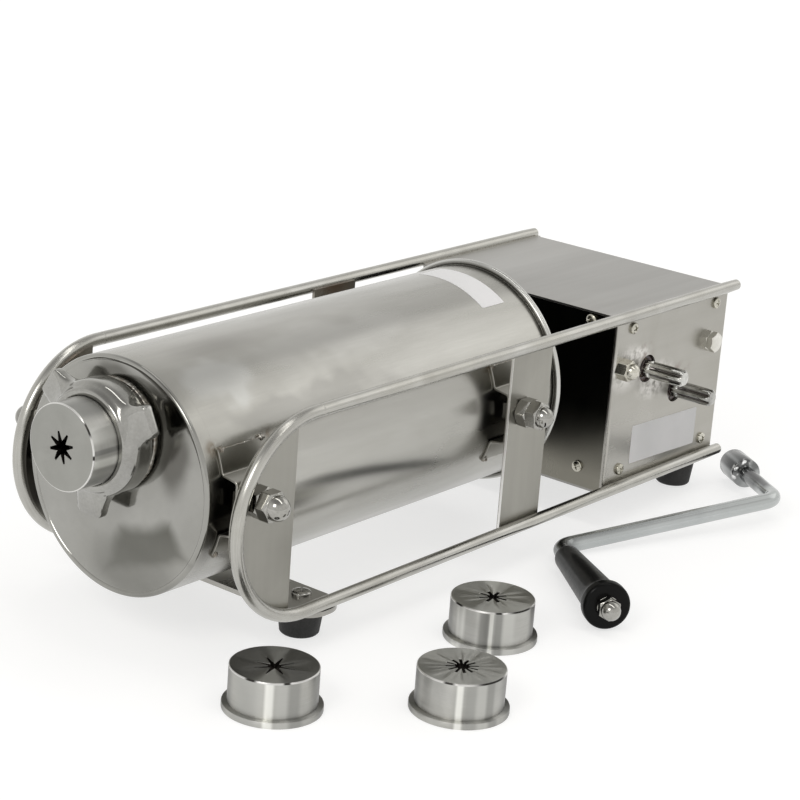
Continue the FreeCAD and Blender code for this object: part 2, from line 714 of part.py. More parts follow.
# ---- Gearbox housing ----
def gearbox_cover():
    """One folded sheet: top, rear wall and floor, with lips for the front plate and tabs for the panels."""
    inside = PANEL_INNER_Y
    lip_x = BOX_FRONT_X + FRONT_PLATE
    low = BOX_BOTTOM_Z
    sheet = BOX_SHEET
    walls = [
        box((BOX_FRONT_X - TOP_OVERHANG, -inside, BOX_TOP_Z - sheet), (BOX_REAR_X, inside, BOX_TOP_Z)),
        box((BOX_REAR_X - sheet, -inside, low), (BOX_REAR_X, inside, BOX_TOP_Z)),
        box((BOX_FRONT_X, -inside, low), (BOX_REAR_X, inside, low + sheet)),
        box((lip_x, -inside, BOX_TOP_Z - sheet - TOP_LIP), (lip_x + sheet, inside, BOX_TOP_Z)),
        box((lip_x, -inside, low), (lip_x + sheet, inside, low + BOTTOM_LIP)),
    ]
    for x, z in PANEL_SCREWS:
        tab_low, tab_high = (z - TAB_WIDTH / 2, BOX_TOP_Z) if z > FAST_Z else (low, z + TAB_WIDTH / 2)
        for side in (-1, 1):
            ys = sorted((side * inside, side * (inside - sheet)))
            walls.append(box((x - TAB_WIDTH / 2, ys[0], tab_low), (x + TAB_WIDTH / 2, ys[1], tab_high)))
    cover = rounded_along_y(joined(walls), BOX_REAR_X, COVER_EDGE_R)
    slot = box(
        (BOX_REAR_X - 5, -RACK_WIDTH / 2 - 1.5, RACK_TIP_Z - 1.5),
        (BOX_REAR_X + 5, RACK_WIDTH / 2 + 1.5, RACK_TOP_Z + 1.5),
    )
    cover = cover.cut(slot)
    for x, z in PANEL_SCREWS:
        cover = cover.cut(rod(V(x, -FRAME_HALF_Y, z), V(x, FRAME_HALF_Y, z), SCREW_R + HOLE_CLEARANCE))
    for y, z in plate_screws():
        cover = cover.cut(rod(V(BOX_FRONT_X, y, z), V(lip_x + 4, y, z), SCREW_R + HOLE_CLEARANCE))
    for x, y in foot_places().values():
        cover = cover.cut(rod(V(x, y, 0), V(x, y, low + 5), FOOT_SCREW_R + HOLE_CLEARANCE))
    return cover


def rounded_along_y(shape, x, radius):
    """Rounds the long edges along Y that lie at one x and are on the outside of the box."""
    chosen = []
    for edge in shape.Edges:
        box_of = edge.BoundBox
        at_x = abs(box_of.XMin - x) < 0.01 and abs(box_of.XMax - x) < 0.01
        if at_x and box_of.YLength > FRAME_HALF_Y and box_of.ZLength < 0.01:
            chosen.append(edge)
    return shape.makeFillet(radius, chosen)


def plate_screws():
    """Where the front plate is screwed to the cover's lips."""
    top = BOX_TOP_Z - BOX_SHEET - TOP_LIP / 2
    low = BOX_BOTTOM_Z + BOTTOM_LIP * 0.75
    return [(y, z) for y in (-PLATE_SCREW_Y, PLATE_SCREW_Y) for z in (top, low)]


def gearbox_front_plate():
    """Closes the gearbox towards the barrel, with a window for the rack and its front roller."""
    plate = box(
        (BOX_FRONT_X, -PANEL_INNER_Y, BOX_BOTTOM_Z + BOX_SHEET),
        (BOX_FRONT_X + FRONT_PLATE, PANEL_INNER_Y, BOX_TOP_Z - BOX_SHEET),
    )
    half = roller_half_width() + 2
    window = box(
        (BOX_FRONT_X - 1, -half, RACK_TIP_Z - 3),
        (BOX_FRONT_X + 5, half, GUIDE_Z + ROLLER_FLANGE_R + 2),
    )
    plate = plate.cut(window)
    for y, z in plate_screws():
        plate = plate.cut(rod(V(BOX_FRONT_X - 1, y, z), V(BOX_FRONT_X + 5, y, z), SCREW_R + HOLE_CLEARANCE))
    return plate


def gearbox_panel(windows):
    """A near side panel; windows lists the shafts that pass through it."""
    panel = box(
        (BOX_FRONT_X, -FRAME_HALF_Y, BOX_BOTTOM_Z),
        (BOX_REAR_X, -PANEL_INNER_Y, BOX_TOP_Z),
    )
    upright = []
    for edge in panel.Edges:
        spot = edge.BoundBox
        if spot.ZLength > 1 and spot.YMax < -FRAME_HALF_Y + 0.01:
            upright.append(edge)
    panel = panel.makeFillet(PANEL_EDGE_R, upright)
    holes = [(x, z, SCREW_R + HOLE_CLEARANCE) for x, z in PANEL_SCREWS]
    holes += [(x, GUIDE_Z, GUIDE_BOLT_R + HOLE_CLEARANCE) for x in GUIDE_XS]
    holes += [(x, z, SHAFT_WINDOW_R) for x, z in windows]
    for x, z, r in holes:
        panel = panel.cut(rod(V(x, -FRAME_HALF_Y - 1, z), V(x, -PANEL_INNER_Y + 1, z), r))
    return panel


def panel_screws():
    """Screws of both side panels and of the front plate."""
    screw = pan_screw(SCREW_R, SCREW_HEAD_R, SCREW_HEAD, SCREW_LENGTH)
    screws = []
    for x, z in PANEL_SCREWS:
        screws.append(placed(screw, V(x, -FRAME_HALF_Y, z), -Y_AXIS))
        screws.append(placed(screw, V(x, FRAME_HALF_Y, z), Y_AXIS))
    for y, z in plate_screws():
        screws.append(placed(screw, V(BOX_FRONT_X, y, z), -X_AXIS))
    return screws


def gear_plate():
    """Inner plate, welded between the cover's floor and top, that carries the slow shaft's inner bush."""
    low = (GEAR_PLATE_X, GEAR_PLATE_Y, BOX_BOTTOM_Z + BOX_SHEET)
    high = (GEAR_PLATE_X + GEAR_PLATE_WIDTH, GEAR_PLATE_Y + GEAR_PLATE, BOX_TOP_Z - BOX_SHEET)
    shaft = V(FAST_X, GEAR_PLATE_Y - 1, FAST_Z)
    hole = rod(shaft, shaft + V(0, GEAR_PLATE + 2, 0), SHAFT_R + 1.5)
    return box(low, high).cut(hole)


def shaft_bushes():
    """Plain bushes: two behind the near panel, one on the far panel, one on the gear plate."""
    places = [
        (FAST_X, FAST_Z, -PANEL_INNER_Y),
        (SLOW_X, SLOW_Z, -PANEL_INNER_Y),
        (FAST_X, FAST_Z, PANEL_INNER_Y - BUSH_LENGTH),
        (SLOW_X, SLOW_Z, GEAR_PLATE_Y - BUSH_LENGTH),
    ]
    bore = SHAFT_R + RUNNING_CLEARANCE
    return [tube(V(x, y, z), V(x, y + BUSH_LENGTH, z), BUSH_R, bore) for x, z, y in places]


# ---- Shafts and gears ----
def pin_hole(x, y, z, hub_r):
    """The line that a roll pin takes through a hub and its shaft."""
    return rod(V(x, y, z - hub_r), V(x, y, z + hub_r), PIN_R)


def crank_shaft(x, z, inner_y, pins):
    """A round shaft whose outer end is splined for the crank."""
    outer_y = -FRAME_HALF_Y - SHAFT_OUT
    root = SHAFT_R - SPLINE_DEPTH
    body = rod(V(x, outer_y + SPLINE_LENGTH, z), V(x, inner_y, z), SHAFT_R)
    spline = spline_face(SHAFT_R, root).extrude(V(0, 0, SPLINE_LENGTH))
    spline = placed(spline, V(x, outer_y, z), Y_AXIS)
    shaft = joined([body, spline])
    for y in pins:
        shaft = shaft.cut(pin_hole(x, y, z, SHAFT_R + 1))
    return shaft


def with_hub(wheel, x, z, y, hub_r):
    """A gear with its hub, bored for the shaft and drilled for its pin."""
    hub = rod(V(x, y - HUB_LENGTH / 2, z), V(x, y + HUB_LENGTH / 2, z), hub_r)
    whole = joined([wheel, hub])
    whole = whole.cut(rod(V(x, -FRAME_HALF_Y, z), V(x, FRAME_HALF_Y, z), SHAFT_R))
    return whole.cut(pin_hole(x, y, z, hub_r))


def drive_wheel():
    line = math.radians(GEAR_LINE_ANGLE)
    centre = V(FAST_X, GEAR_CENTRE_Y, FAST_Z)
    wheel = toothed_wheel(WHEEL_TEETH, GEAR_MODULE, GEAR_WIDTH, centre, line)
    return with_hub(wheel, FAST_X, FAST_Z, HUB_CENTRE_Y, WHEEL_HUB_R)


def slow_pinion():
    facing = math.radians(GEAR_LINE_ANGLE + 180) + math.pi / SMALL_TEETH
    centre = V(SLOW_X, GEAR_CENTRE_Y, SLOW_Z)
    wheel = toothed_wheel(SMALL_TEETH, GEAR_MODULE, GEAR_WIDTH, centre, facing)
    return with_hub(wheel, SLOW_X, SLOW_Z, HUB_CENTRE_Y, SMALL_HUB_R)


def pinion_hub_y():
    return PINION_WIDTH / 2 + HUB_LENGTH / 2


def rack_pinion():
    centre = V(FAST_X, 0, FAST_Z)
    wheel = toothed_wheel(PINION_TEETH, RACK_MODULE, PINION_WIDTH, centre, math.pi / 2, 4)
    return with_hub(wheel, FAST_X, FAST_Z, pinion_hub_y(), COLLAR_R)


def shaft_collar(x, z):
    """Stop collar just inside a near bush."""
    return tube(V(x, COLLAR_Y, z), V(x, COLLAR_Y + COLLAR_WIDTH, z), COLLAR_R, SHAFT_R)


def rack_bar():
    """Square bar with teeth below, a round head at the piston and a stud that passes through it."""
    half_pitch = math.pi * RACK_MODULE / 2
    lean = math.tan(math.radians(PRESSURE_ANGLE))
    half_tooth = half_pitch / 2 - BACKLASH / 2
    root_z = PITCH_Z + 1.2 * RACK_MODULE
    outline = [(RACK_FRONT_X, RACK_TOP_Z), (RACK_FRONT_X, root_z)]
    first = math.ceil((RACK_TEETH_FRONT_X - FAST_X - half_pitch) / (2 * half_pitch))
    last = math.floor((RACK_REAR_X - 3 - FAST_X - half_pitch) / (2 * half_pitch))
    for k in range(first, last + 1):
        middle = FAST_X + half_pitch + 2 * half_pitch * k
        root_half = half_tooth + (root_z - PITCH_Z) * lean
        tip_half = half_tooth - RACK_TIP * lean
        outline += [
            (middle - root_half, root_z),
            (middle - tip_half, RACK_TIP_Z),
            (middle + tip_half, RACK_TIP_Z),
            (middle + root_half, root_z),
        ]
    outline += [(RACK_REAR_X, root_z), (RACK_REAR_X, RACK_TOP_Z)]
    bar = polygon(outline).extrude(V(0, RACK_WIDTH, 0))
    bar.translate(V(0, -RACK_WIDTH / 2, 0))
    middle = V(0, 0, BARREL_AXIS_Z)
    back_x = PISTON_FRONT_X + PISTON_THICK
    head = rod(middle + V(back_x, 0, 0), middle + V(RACK_FRONT_X, 0, 0), RACK_HEAD_R)
    tip_x = PISTON_FRONT_X - M10_NUT - 2
    stud = rod(middle + V(tip_x, 0, 0), middle + V(back_x, 0, 0), STUD_R)
    return joined([bar, head, stud])


def roller_half_width():
    return RACK_WIDTH / 2 + ROLLER_SIDE_GAP + ROLLER_FLANGE


def guide_roller(x):
    """Grooved roller that holds the rack down and keeps it in line."""
    half = roller_half_width()
    tread = half - ROLLER_FLANGE
    bore = GUIDE_BOLT_R + RUNNING_CLEARANCE
    steps = [
        (ROLLER_FLANGE_R, -half),
        (ROLLER_FLANGE_R, -tread),
        (ROLLER_R, -tread),
        (ROLLER_R, tread),
        (ROLLER_FLANGE_R, tread),
        (ROLLER_FLANGE_R, half),
        (bore, half),
    ]
    return turned((bore, -half), steps, V(x, 0, GUIDE_Z), Y_AXIS)


def roller_clips():
    """Rings on the guide bolts, one at each side of each roller."""
    clips = []
    for x in GUIDE_XS:
        for side in (-1, 1):
            near = side * (roller_half_width() + 0.3)
            far = near + side * CLIP_WIDTH
            clips.append(tube(V(x, near, GUIDE_Z), V(x, far, GUIDE_Z), GUIDE_BOLT_R + 3, GUIDE_BOLT_R))
    return clips


def guide_bolts():
    """The front bolt shows its nut on the crank side, the rear one its head."""
    length = 2 * FRAME_HALF_Y + M8_NUT + 3
    bolt = hex_bolt(GUIDE_BOLT_R, M8_FLATS, 5.3, length)
    front = placed(bolt, V(GUIDE_XS[0], FRAME_HALF_Y, GUIDE_Z), Y_AXIS)
    rear = placed(bolt, V(GUIDE_XS[1], -FRAME_HALF_Y, GUIDE_Z), -Y_AXIS)
    return [front, rear]


def guide_nuts():
    nut = acorn_nut(M8_FLATS, M8_NUT + 3.5, M8_DOME_R, GUIDE_BOLT_R + HOLE_CLEARANCE)
    front = placed(nut, V(GUIDE_XS[0], -FRAME_HALF_Y, GUIDE_Z), -Y_AXIS)
    rear = placed(nut, V(GUIDE_XS[1], FRAME_HALF_Y, GUIDE_Z), Y_AXIS)
    return [front, rear]


# ---- Piston ----
def piston_disc():
    """Turned disc with a groove for its seal."""
    groove_low = PISTON_THICK / 2 - SEAL_WIDTH / 2 - HOLE_CLEARANCE
    groove_high = PISTON_THICK - groove_low
    groove_r = SEAL_R - SEAL_DEPTH - HOLE_CLEARANCE
    hole = STUD_R + HOLE_CLEARANCE
    steps = [
        (PISTON_R - 1, 0),
        (PISTON_R, 1),
        (PISTON_R, groove_low),
        (groove_r, groove_low),
        (groove_r, groove_high),
        (PISTON_R, groove_high),
        (PISTON_R, PISTON_THICK - 1),
        (PISTON_R - 1, PISTON_THICK),
        (hole, PISTON_THICK),
    ]
    return turned((hole, 0), steps, V(PISTON_FRONT_X, 0, BARREL_AXIS_Z), X_AXIS)


def piston_seal():
    """Rubber ring with a rounded outer lip."""
    low = (PISTON_THICK - SEAL_WIDTH) / 2
    high = low + SEAL_WIDTH
    inner = SEAL_R - SEAL_DEPTH
    lip = ((SEAL_R, PISTON_THICK / 2), (SEAL_R - 1.2, high))
    steps = [(SEAL_R - 1.2, low), lip, (inner, high)]
    return turned((inner, low), steps, V(PISTON_FRONT_X, 0, BARREL_AXIS_Z), X_AXIS)


def piston_nut():
    nut = hex_nut(M10_FLATS, M10_NUT, STUD_R + HOLE_CLEARANCE)
    return placed(nut, V(PISTON_FRONT_X, 0, BARREL_AXIS_Z), -X_AXIS)


# ---- Crank ----
def crank_points():
    """Socket mouth, two bends and the grip's outer face, drawn flat with the arm along +X."""
    lean = math.radians(180 + CRANK_TURN)
    away = V(math.cos(lean), math.sin(lean), 0)
    bend_one = V(0, 0, 0)
    bend_two = V(CRANK_ARM, 0, 0)
    mouth = bend_one + away * CRANK_STUB
    end = bend_two - away * CRANK_LEG
    return mouth, bend_one, bend_two, end


def crank_placement():
    """The crank settles on its socket's rim, its second bend and the grip's flange."""
    mouth, bend_one, bend_two, end = crank_points()
    matrix = FreeCAD.Matrix(mouth.x, mouth.y, 1, 0, bend_two.x, bend_two.y, 1, 0, end.x, end.y, 1, 0)
    slopes = matrix.inverse().multiply(V(SOCKET_R, CRANK_ROD_R, GRIP_FLANGE_R))
    rise_x = slopes.x
    rise_y = slopes.y
    flat_x = math.sqrt(1 - rise_x ** 2)
    skew = -rise_x * rise_y / flat_x
    flat_y = math.sqrt(1 - rise_y ** 2 - skew ** 2)
    yaw = math.radians(180 + CRANK_ARM_YAW)
    along = V(math.cos(yaw), math.sin(yaw), 0)
    across = V(-math.sin(yaw), math.cos(yaw), 0)
    new_x = along * flat_x + Z_AXIS * rise_x
    new_y = along * skew + across * flat_y + Z_AXIS * rise_y
    turn = FreeCAD.Rotation(new_x, new_y, new_x.cross(new_y), "XYZ")
    corner = V(CRANK_BEND_AT[0], CRANK_BEND_AT[1], CRANK_ROD_R)
    return FreeCAD.Placement(corner - turn.multVec(bend_two), turn)


def crank_parts():
    """The crank's pieces drawn flat, by name."""
    mouth, bend_one, bend_two, end = crank_points()
    inward = (bend_one - mouth).normalize()
    outward = (end - bend_two).normalize()
    closed = mouth + inward * SOCKET_LENGTH
    grip_end = end
    nut_base = grip_end + outward * WASHER
    stud_end = nut_base + outward * M8_NUT
    steel = bent_rod([closed, bend_one, bend_two, grip_end - outward * 1], CRANK_ROD_R, CRANK_BEND_R)
    steel = joined([steel, rod(grip_end - outward * 2, stud_end, GUIDE_BOLT_R)])
    socket = turned(
        (0, 0),
        [
            (SOCKET_R, 0),
            (SOCKET_R, SOCKET_LENGTH - 1.5),
            (SOCKET_R - 1.5, SOCKET_LENGTH),
            (0, SOCKET_LENGTH),
        ],
    )
    mouth_spline = spline_face(SHAFT_R + 0.15, SHAFT_R - SPLINE_DEPTH + 0.15)
    socket = socket.cut(mouth_spline.extrude(V(0, 0, SOCKET_DEPTH)))
    grip_start = grip_end - outward * GRIP_LENGTH
    bore = CRANK_ROD_R + GRIP_CLEARANCE
    top = GRIP_LENGTH
    neck = top - GRIP_FLANGE
    grip = turned(
        (bore, 0),
        [
            (GRIP_SMALL_R - 1.5, 0),
            ((GRIP_SMALL_R - 0.45, 0.45), (GRIP_SMALL_R, 1.5)),
            (GRIP_LARGE_R, neck - 8),
            ((GRIP_LARGE_R + 0.7, neck - 3), (GRIP_FLANGE_R, neck)),
            (GRIP_FLANGE_R, top - 2.5),
            ((GRIP_FLANGE_R - 0.8, top - 0.8), (GRIP_FLANGE_R - 2.5, top)),
            (bore, top),
        ],
    )
    washer = tube(grip_end, nut_base, M8_FLATS * 0.6, GUIDE_BOLT_R + HOLE_CLEARANCE)
    nut = acorn_nut(M8_FLATS, M8_NUT, M8_DOME_R, GUIDE_BOLT_R + HOLE_CLEARANCE)
    return {
        "crank_rod": steel,
        "crank_socket": placed(socket, mouth, inward),
        "crank_grip": placed(grip, grip_start, outward),
        "grip_washer": washer,
        "grip_acorn_nut": placed(nut, nut_base, outward),
    }


def crank_on_table():
    """The crank laid down, with its lowest point on the table."""
    resting = crank_placement()
    pieces = {}
    for name, shape in crank_parts().items():
        shape = shape.copy()
        shape.Placement = resting.multiply(shape.Placement)
        pieces[name] = shape
    lowest = min(p.optimalBoundingBox(False, False).ZMin for p in pieces.values())
    for shape in pieces.values():
        shape.translate(V(0, 0, -lowest))
    return pieces


# ---- Assembly ----
def strap_hardware():
    """Bolts, nuts and acorn nuts that hold the barrel between the straps."""
    bolt = hex_bolt(STUD_R, M10_FLATS, 5.5, BRACKET_SHEET + STRAP + M10_NUT + ACORN_HEX - 1)
    nut = hex_nut(M10_FLATS, M10_NUT, STUD_R + HOLE_CLEARANCE)
    acorn = acorn_nut(M10_FLATS, ACORN_HEX, ACORN_DOME_R, STUD_R + HOLE_CLEARANCE)
    groups = {"strap_bolts": [], "strap_nuts": [], "strap_acorn_nuts": []}
    for x in (FRONT_BOLT_X, REAR_BOLT_X):
        head = V(x, -STRAP_INNER_Y + BRACKET_SHEET, STRAP_BOLT_Z)
        outside = V(x, -FRAME_HALF_Y, STRAP_BOLT_Z)
        near = {
            "strap_bolts": placed(bolt, head, Y_AXIS),
            "strap_nuts": placed(nut, outside, -Y_AXIS),
            "strap_acorn_nuts": placed(acorn, outside - V(0, M10_NUT, 0), -Y_AXIS),
        }
        for name, shape in near.items():
            groups[name] += [shape, mirrored(shape)]
    return groups


def build():
    """Every piece by name; a group of like fasteners is a list."""
    parts = {}
    for name, make in (("side_rail", side_rail), ("front_strap", front_strap), ("rear_strap", rear_strap)):
        near = make()
        parts[name + "_near"] = near
        parts[name + "_far"] = mirrored(near)
    front_reach = RAIL_Y + CROSS_PLATE_OVERHANG
    rear_reach = FRAME_HALF_Y - REAR_PLATE_WITHIN_FRAME
    parts["front_cross_plate"] = cross_plate(FRONT_PLATE_X, front_reach, CROSS_PLATE_WIDTH * 0.45)
    parts["rear_cross_plate"] = cross_plate(REAR_PLATE_X, rear_reach, REAR_PLATE_CORNER_R)
    for name, (x, y) in foot_places().items():
        parts["rubber_foot_" + name] = rubber_foot(x, y)
    parts["foot_screws"] = [foot_screw(x, y) for x, y in foot_places().values()]
    parts["barrel_tube"] = barrel_tube()
    parts["front_cap"] = front_cap()
    parts["outlet_spout"] = spout()
    for end, x in (("front", FRONT_BOLT_X), ("rear", REAR_BOLT_X)):
        near = barrel_bracket(x)
        parts["barrel_bracket_" + end + "_near"] = near
        parts["barrel_bracket_" + end + "_far"] = mirrored(near)
    parts.update(strap_hardware())
    parts["ring_nut"] = ring_nut()
    parts["nozzle_mounted"] = mounted_nozzle()
    for name, (x, y) in LOOSE_NOZZLES.items():
        parts["nozzle_" + name] = placed(nozzle_cup(star_of(name)), V(x, y, 0))
    parts["gearbox_cover"] = gearbox_cover()
    parts["gearbox_front_plate"] = gearbox_front_plate()
    parts["gearbox_panel_near"] = gearbox_panel([(FAST_X, FAST_Z), (SLOW_X, SLOW_Z)])
    parts["gearbox_panel_far"] = mirrored(gearbox_panel([]))
    parts["panel_screws"] = panel_screws()
    parts["gear_plate"] = gear_plate()
    parts["shaft_bushes"] = shaft_bushes()
    fast_pins = (HUB_CENTRE_Y, pinion_hub_y())
    parts["fast_shaft"] = crank_shaft(FAST_X, FAST_Z, PANEL_INNER_Y - 1, fast_pins)
    parts["slow_shaft"] = crank_shaft(SLOW_X, SLOW_Z, GEAR_PLATE_Y - 0.5, (HUB_CENTRE_Y,))
    parts["drive_wheel"] = drive_wheel()
    parts["slow_pinion"] = slow_pinion()
    parts["rack_pinion"] = rack_pinion()
    parts["fast_collar"] = shaft_collar(FAST_X, FAST_Z)
    parts["slow_collar"] = shaft_collar(SLOW_X, SLOW_Z)
    parts["fast_roll_pins"] = [
        pin_hole(FAST_X, fast_pins[0], FAST_Z, WHEEL_HUB_R),
        pin_hole(FAST_X, fast_pins[1], FAST_Z, COLLAR_R),
    ]
    parts["slow_roll_pin"] = pin_hole(SLOW_X, HUB_CENTRE_Y, SLOW_Z, SMALL_HUB_R)
    parts["guide_bolts"] = guide_bolts()
    parts["guide_nuts"] = guide_nuts()
    parts["roller_clips"] = roller_clips()
    parts["guide_roller_front"] = guide_roller(GUIDE_XS[0])
    parts["guide_roller_rear"] = guide_roller(GUIDE_XS[1])
    parts["rack_bar"] = rack_bar()
    parts["piston_disc"] = piston_disc()
    parts["piston_seal"] = piston_seal()
    parts["piston_nut"] = piston_nut()
    parts.update(crank_on_table())
    return parts


def footprint_centre(shapes):
    """The middle of everything, seen from above."""
    boxes = [s.optimalBoundingBox(False, False) for s in shapes.values()]
    middle_x = (min(b.XMin for b in boxes) + max(b.XMax for b in boxes)) / 2
    middle_y = (min(b.YMin for b in boxes) + max(b.YMax for b in boxes)) / 2
    return V(middle_x, middle_y, 0)


def main():
    os.makedirs("parts", exist_ok=True)
    shapes = {}
    for name, piece in build().items():
        shapes[name] = Part.makeCompound(piece) if isinstance(piece, list) else piece
    shift = -footprint_centre(shapes)
    for name, shape in shapes.items():
        shape.translate(shift)
        shape.exportStep("parts/" + name + ".step")
    print("pieces", len(shapes), "moved by", [round(c, 4) for c in shift])


main()
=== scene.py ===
# %% [markdown]
# # A hand-cranked churro maker
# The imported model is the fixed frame: every piece below sits on it and moves with one of its bodies.
# Sizes are written in millimetres from the machine's own zero. It lies on the table, midway between the side
# rails, 6 mm ahead of the barrel's tube and 102 mm under the barrel's axis, and is found from the tube's box.
# One function turns the millimetres into metres in the frame.

# %% Load the frame
import bpy
import bmesh
import math
import numpy as np
from mathutils import Matrix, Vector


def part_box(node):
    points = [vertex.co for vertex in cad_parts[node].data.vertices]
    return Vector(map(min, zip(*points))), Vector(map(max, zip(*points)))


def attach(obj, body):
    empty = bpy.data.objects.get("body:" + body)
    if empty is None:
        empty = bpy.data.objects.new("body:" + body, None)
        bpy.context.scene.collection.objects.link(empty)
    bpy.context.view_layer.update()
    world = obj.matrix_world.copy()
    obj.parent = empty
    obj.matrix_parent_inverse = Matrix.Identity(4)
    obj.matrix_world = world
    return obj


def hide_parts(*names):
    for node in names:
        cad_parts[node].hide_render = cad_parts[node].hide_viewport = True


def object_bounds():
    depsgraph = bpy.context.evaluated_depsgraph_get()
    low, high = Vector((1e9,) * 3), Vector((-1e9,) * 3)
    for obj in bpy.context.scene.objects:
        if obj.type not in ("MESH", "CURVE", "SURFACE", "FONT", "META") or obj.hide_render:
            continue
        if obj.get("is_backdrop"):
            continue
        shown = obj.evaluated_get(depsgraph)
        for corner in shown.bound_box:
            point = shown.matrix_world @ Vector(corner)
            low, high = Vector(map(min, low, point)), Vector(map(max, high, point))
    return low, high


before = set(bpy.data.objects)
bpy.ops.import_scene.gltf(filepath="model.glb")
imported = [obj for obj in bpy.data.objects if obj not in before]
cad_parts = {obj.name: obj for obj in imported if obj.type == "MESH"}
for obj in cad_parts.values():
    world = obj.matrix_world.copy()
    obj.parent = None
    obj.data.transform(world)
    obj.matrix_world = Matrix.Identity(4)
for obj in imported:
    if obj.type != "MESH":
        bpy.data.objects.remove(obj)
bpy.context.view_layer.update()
barrel_low, barrel_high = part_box("barrel_tube")
BARREL_START, AXIS_HEIGHT = 6.0, 102.0
HOME = np.array([barrel_low.x, (barrel_low.y + barrel_high.y) / 2, (barrel_low.z + barrel_high.z) / 2])
HOME -= np.array([BARREL_START, 0.0, AXIS_HEIGHT]) * 0.001
print("frame loaded, machine zero at", HOME.round(4))

# %% [markdown]
# ## Surfaces as grids
# Most pieces of this machine are turned, drawn or bent, so their surfaces are rows and columns of points:
# a section, carried round an axis or along a path. One helper turns such a grid into quads. It also writes
# a UV map in metres of real length, so that grinding lines and turning rings keep their true width.

# %% Grids into meshes
def grid(points, close_rows=False, close_columns=False):
    """Quads between neighbours of a rows x columns x 3 array, with UVs of run length along each."""
    points = np.asarray(points, float)
    index = np.arange(points.shape[0] * points.shape[1]).reshape(points.shape[:2])
    ring = points
    if close_rows:
        index, ring = np.vstack([index, index[:1]]), np.concatenate([ring, ring[:1]], 0)
    if close_columns:
        index, ring = np.hstack([index, index[:, :1]]), np.concatenate([ring, ring[:, :1]], 1)
    along = np.linalg.norm(np.diff(ring, axis=0), axis=2).mean(1).cumsum()
    around = np.linalg.norm(np.diff(ring, axis=1), axis=2).max(0).cumsum()
    u, v = np.meshgrid(np.append(0, around), np.append(0, along))
    uv = np.stack([u, v], -1) * 0.001
    corners = ((slice(0, -1), slice(0, -1)), (slice(0, -1), slice(1, None)),
               (slice(1, None), slice(1, None)), (slice(1, None), slice(0, -1)))
    quads = np.stack([index[c] for c in corners], -1).reshape(-1, 4)
    return points.reshape(-1, 3), quads, np.stack([uv[c] for c in corners], 2).reshape(-1, 2)


def fan(rim):
    """A flat end: the rim's points joined to their middle."""
    rim = np.asarray(rim, float)
    return grid(np.stack([rim, np.repeat(rim.mean(0)[None], len(rim), 0)]), close_columns=True)


# Points closer together than this, in millimetres, become one.
MERGE = 0.002


def make(name, surfaces, material, body, sharp=32, second=None, from_face=0):
    """One named piece from several grids in millimetres. Doubles are merged, faces turned outwards,
    and edges sharper than the given angle stay crisp. Faces from from_face on take the second finish."""
    points = np.vstack([s[0] for s in surfaces])
    starts = np.cumsum([0] + [len(s[0]) for s in surfaces[:-1]])
    quads = np.vstack([s[1] + start for s, start in zip(surfaces, starts)])
    uvs = np.vstack([s[2] for s in surfaces])
    mesh = bpy.data.meshes.new(name)
    mesh.from_pydata((points * 0.001 + HOME).tolist(), [], quads.tolist())
    mesh.uv_layers.new(name="surface").data.foreach_set("uv", uvs.astype(np.float32).ravel())
    mesh.materials.append(material)
    if second:
        mesh.materials.append(second)
        mesh.polygons.foreach_set("material_index", (np.arange(len(quads)) >= from_face).astype(np.int32))
    work = bmesh.new()
    work.from_mesh(mesh)
    bmesh.ops.remove_doubles(work, verts=work.verts, dist=MERGE * 0.001)
    bmesh.ops.dissolve_degenerate(work, edges=work.edges, dist=1e-7)
    bmesh.ops.recalc_face_normals(work, faces=work.faces)
    for edge in work.edges:
        edge.smooth = len(edge.link_faces) == 2 and edge.calc_face_angle(0) < math.radians(sharp)
    for face in work.faces:
        face.smooth = True
    work.to_mesh(mesh)
    work.free()
    piece = bpy.data.objects.new(name, mesh)
    bpy.context.scene.collection.objects.link(piece)
    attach(piece, body)
    print(name, len(mesh.polygons), "faces")
    return piece


square = grid(np.array([[(0, 0, 0), (10, 0, 0)], [(0, 5, 0), (10, 5, 0)]]))
print("a sheet of 10 by 5 mm is", len(square[1]), "face, with UVs up to", square[2].max(0), "m")

# %% [markdown]
# Sections are drawn as corners with a radius each, because no edge on a real turned or bent part is
# perfectly sharp, and the small highlight on that edge is much of what makes metal look like metal.

# %% Sections, turning and sweeping
def soften(corners, closed=True, steps=4):
    """Corners (x, y, radius) become arcs that touch both neighbouring lines; radius 0 stays a corner."""
    corners = np.array(corners, float)
    out = []
    for k, (x, y, radius) in enumerate(corners):
        here = np.array([x, y])
        if radius == 0 or (not closed and k in (0, len(corners) - 1)):
            out.append(here[None])
            continue
        back = corners[k - 1, :2] - here
        ahead = corners[(k + 1) % len(corners), :2] - here
        back, ahead = back / np.linalg.norm(back), ahead / np.linalg.norm(ahead)
        half = np.arccos(np.clip(back @ ahead, -1, 1)) / 2
        centre = here + (back + ahead) / np.linalg.norm(back + ahead) * radius / np.sin(half)
        first, last = (here + d * radius / np.tan(half) - centre for d in (back, ahead))
        sweep = np.pi - 2 * half
        t = np.linspace(0, 1, steps + 1)[:, None]
        out.append(centre + (np.sin((1 - t) * sweep) * first + np.sin(t * sweep) * last) / np.sin(sweep))
    return np.vstack(out)


def square_to(axis):
    """Two directions square to an axis, and the axis itself, as unit vectors."""
    axis = np.array(axis, float) / np.linalg.norm(axis)
    helper = np.array([0, 0, 1.0]) if abs(axis[2]) < 0.9 else np.array([1.0, 0, 0])
    side = np.cross(helper, axis)
    side /= np.linalg.norm(side)
    return side, np.cross(axis, side), axis


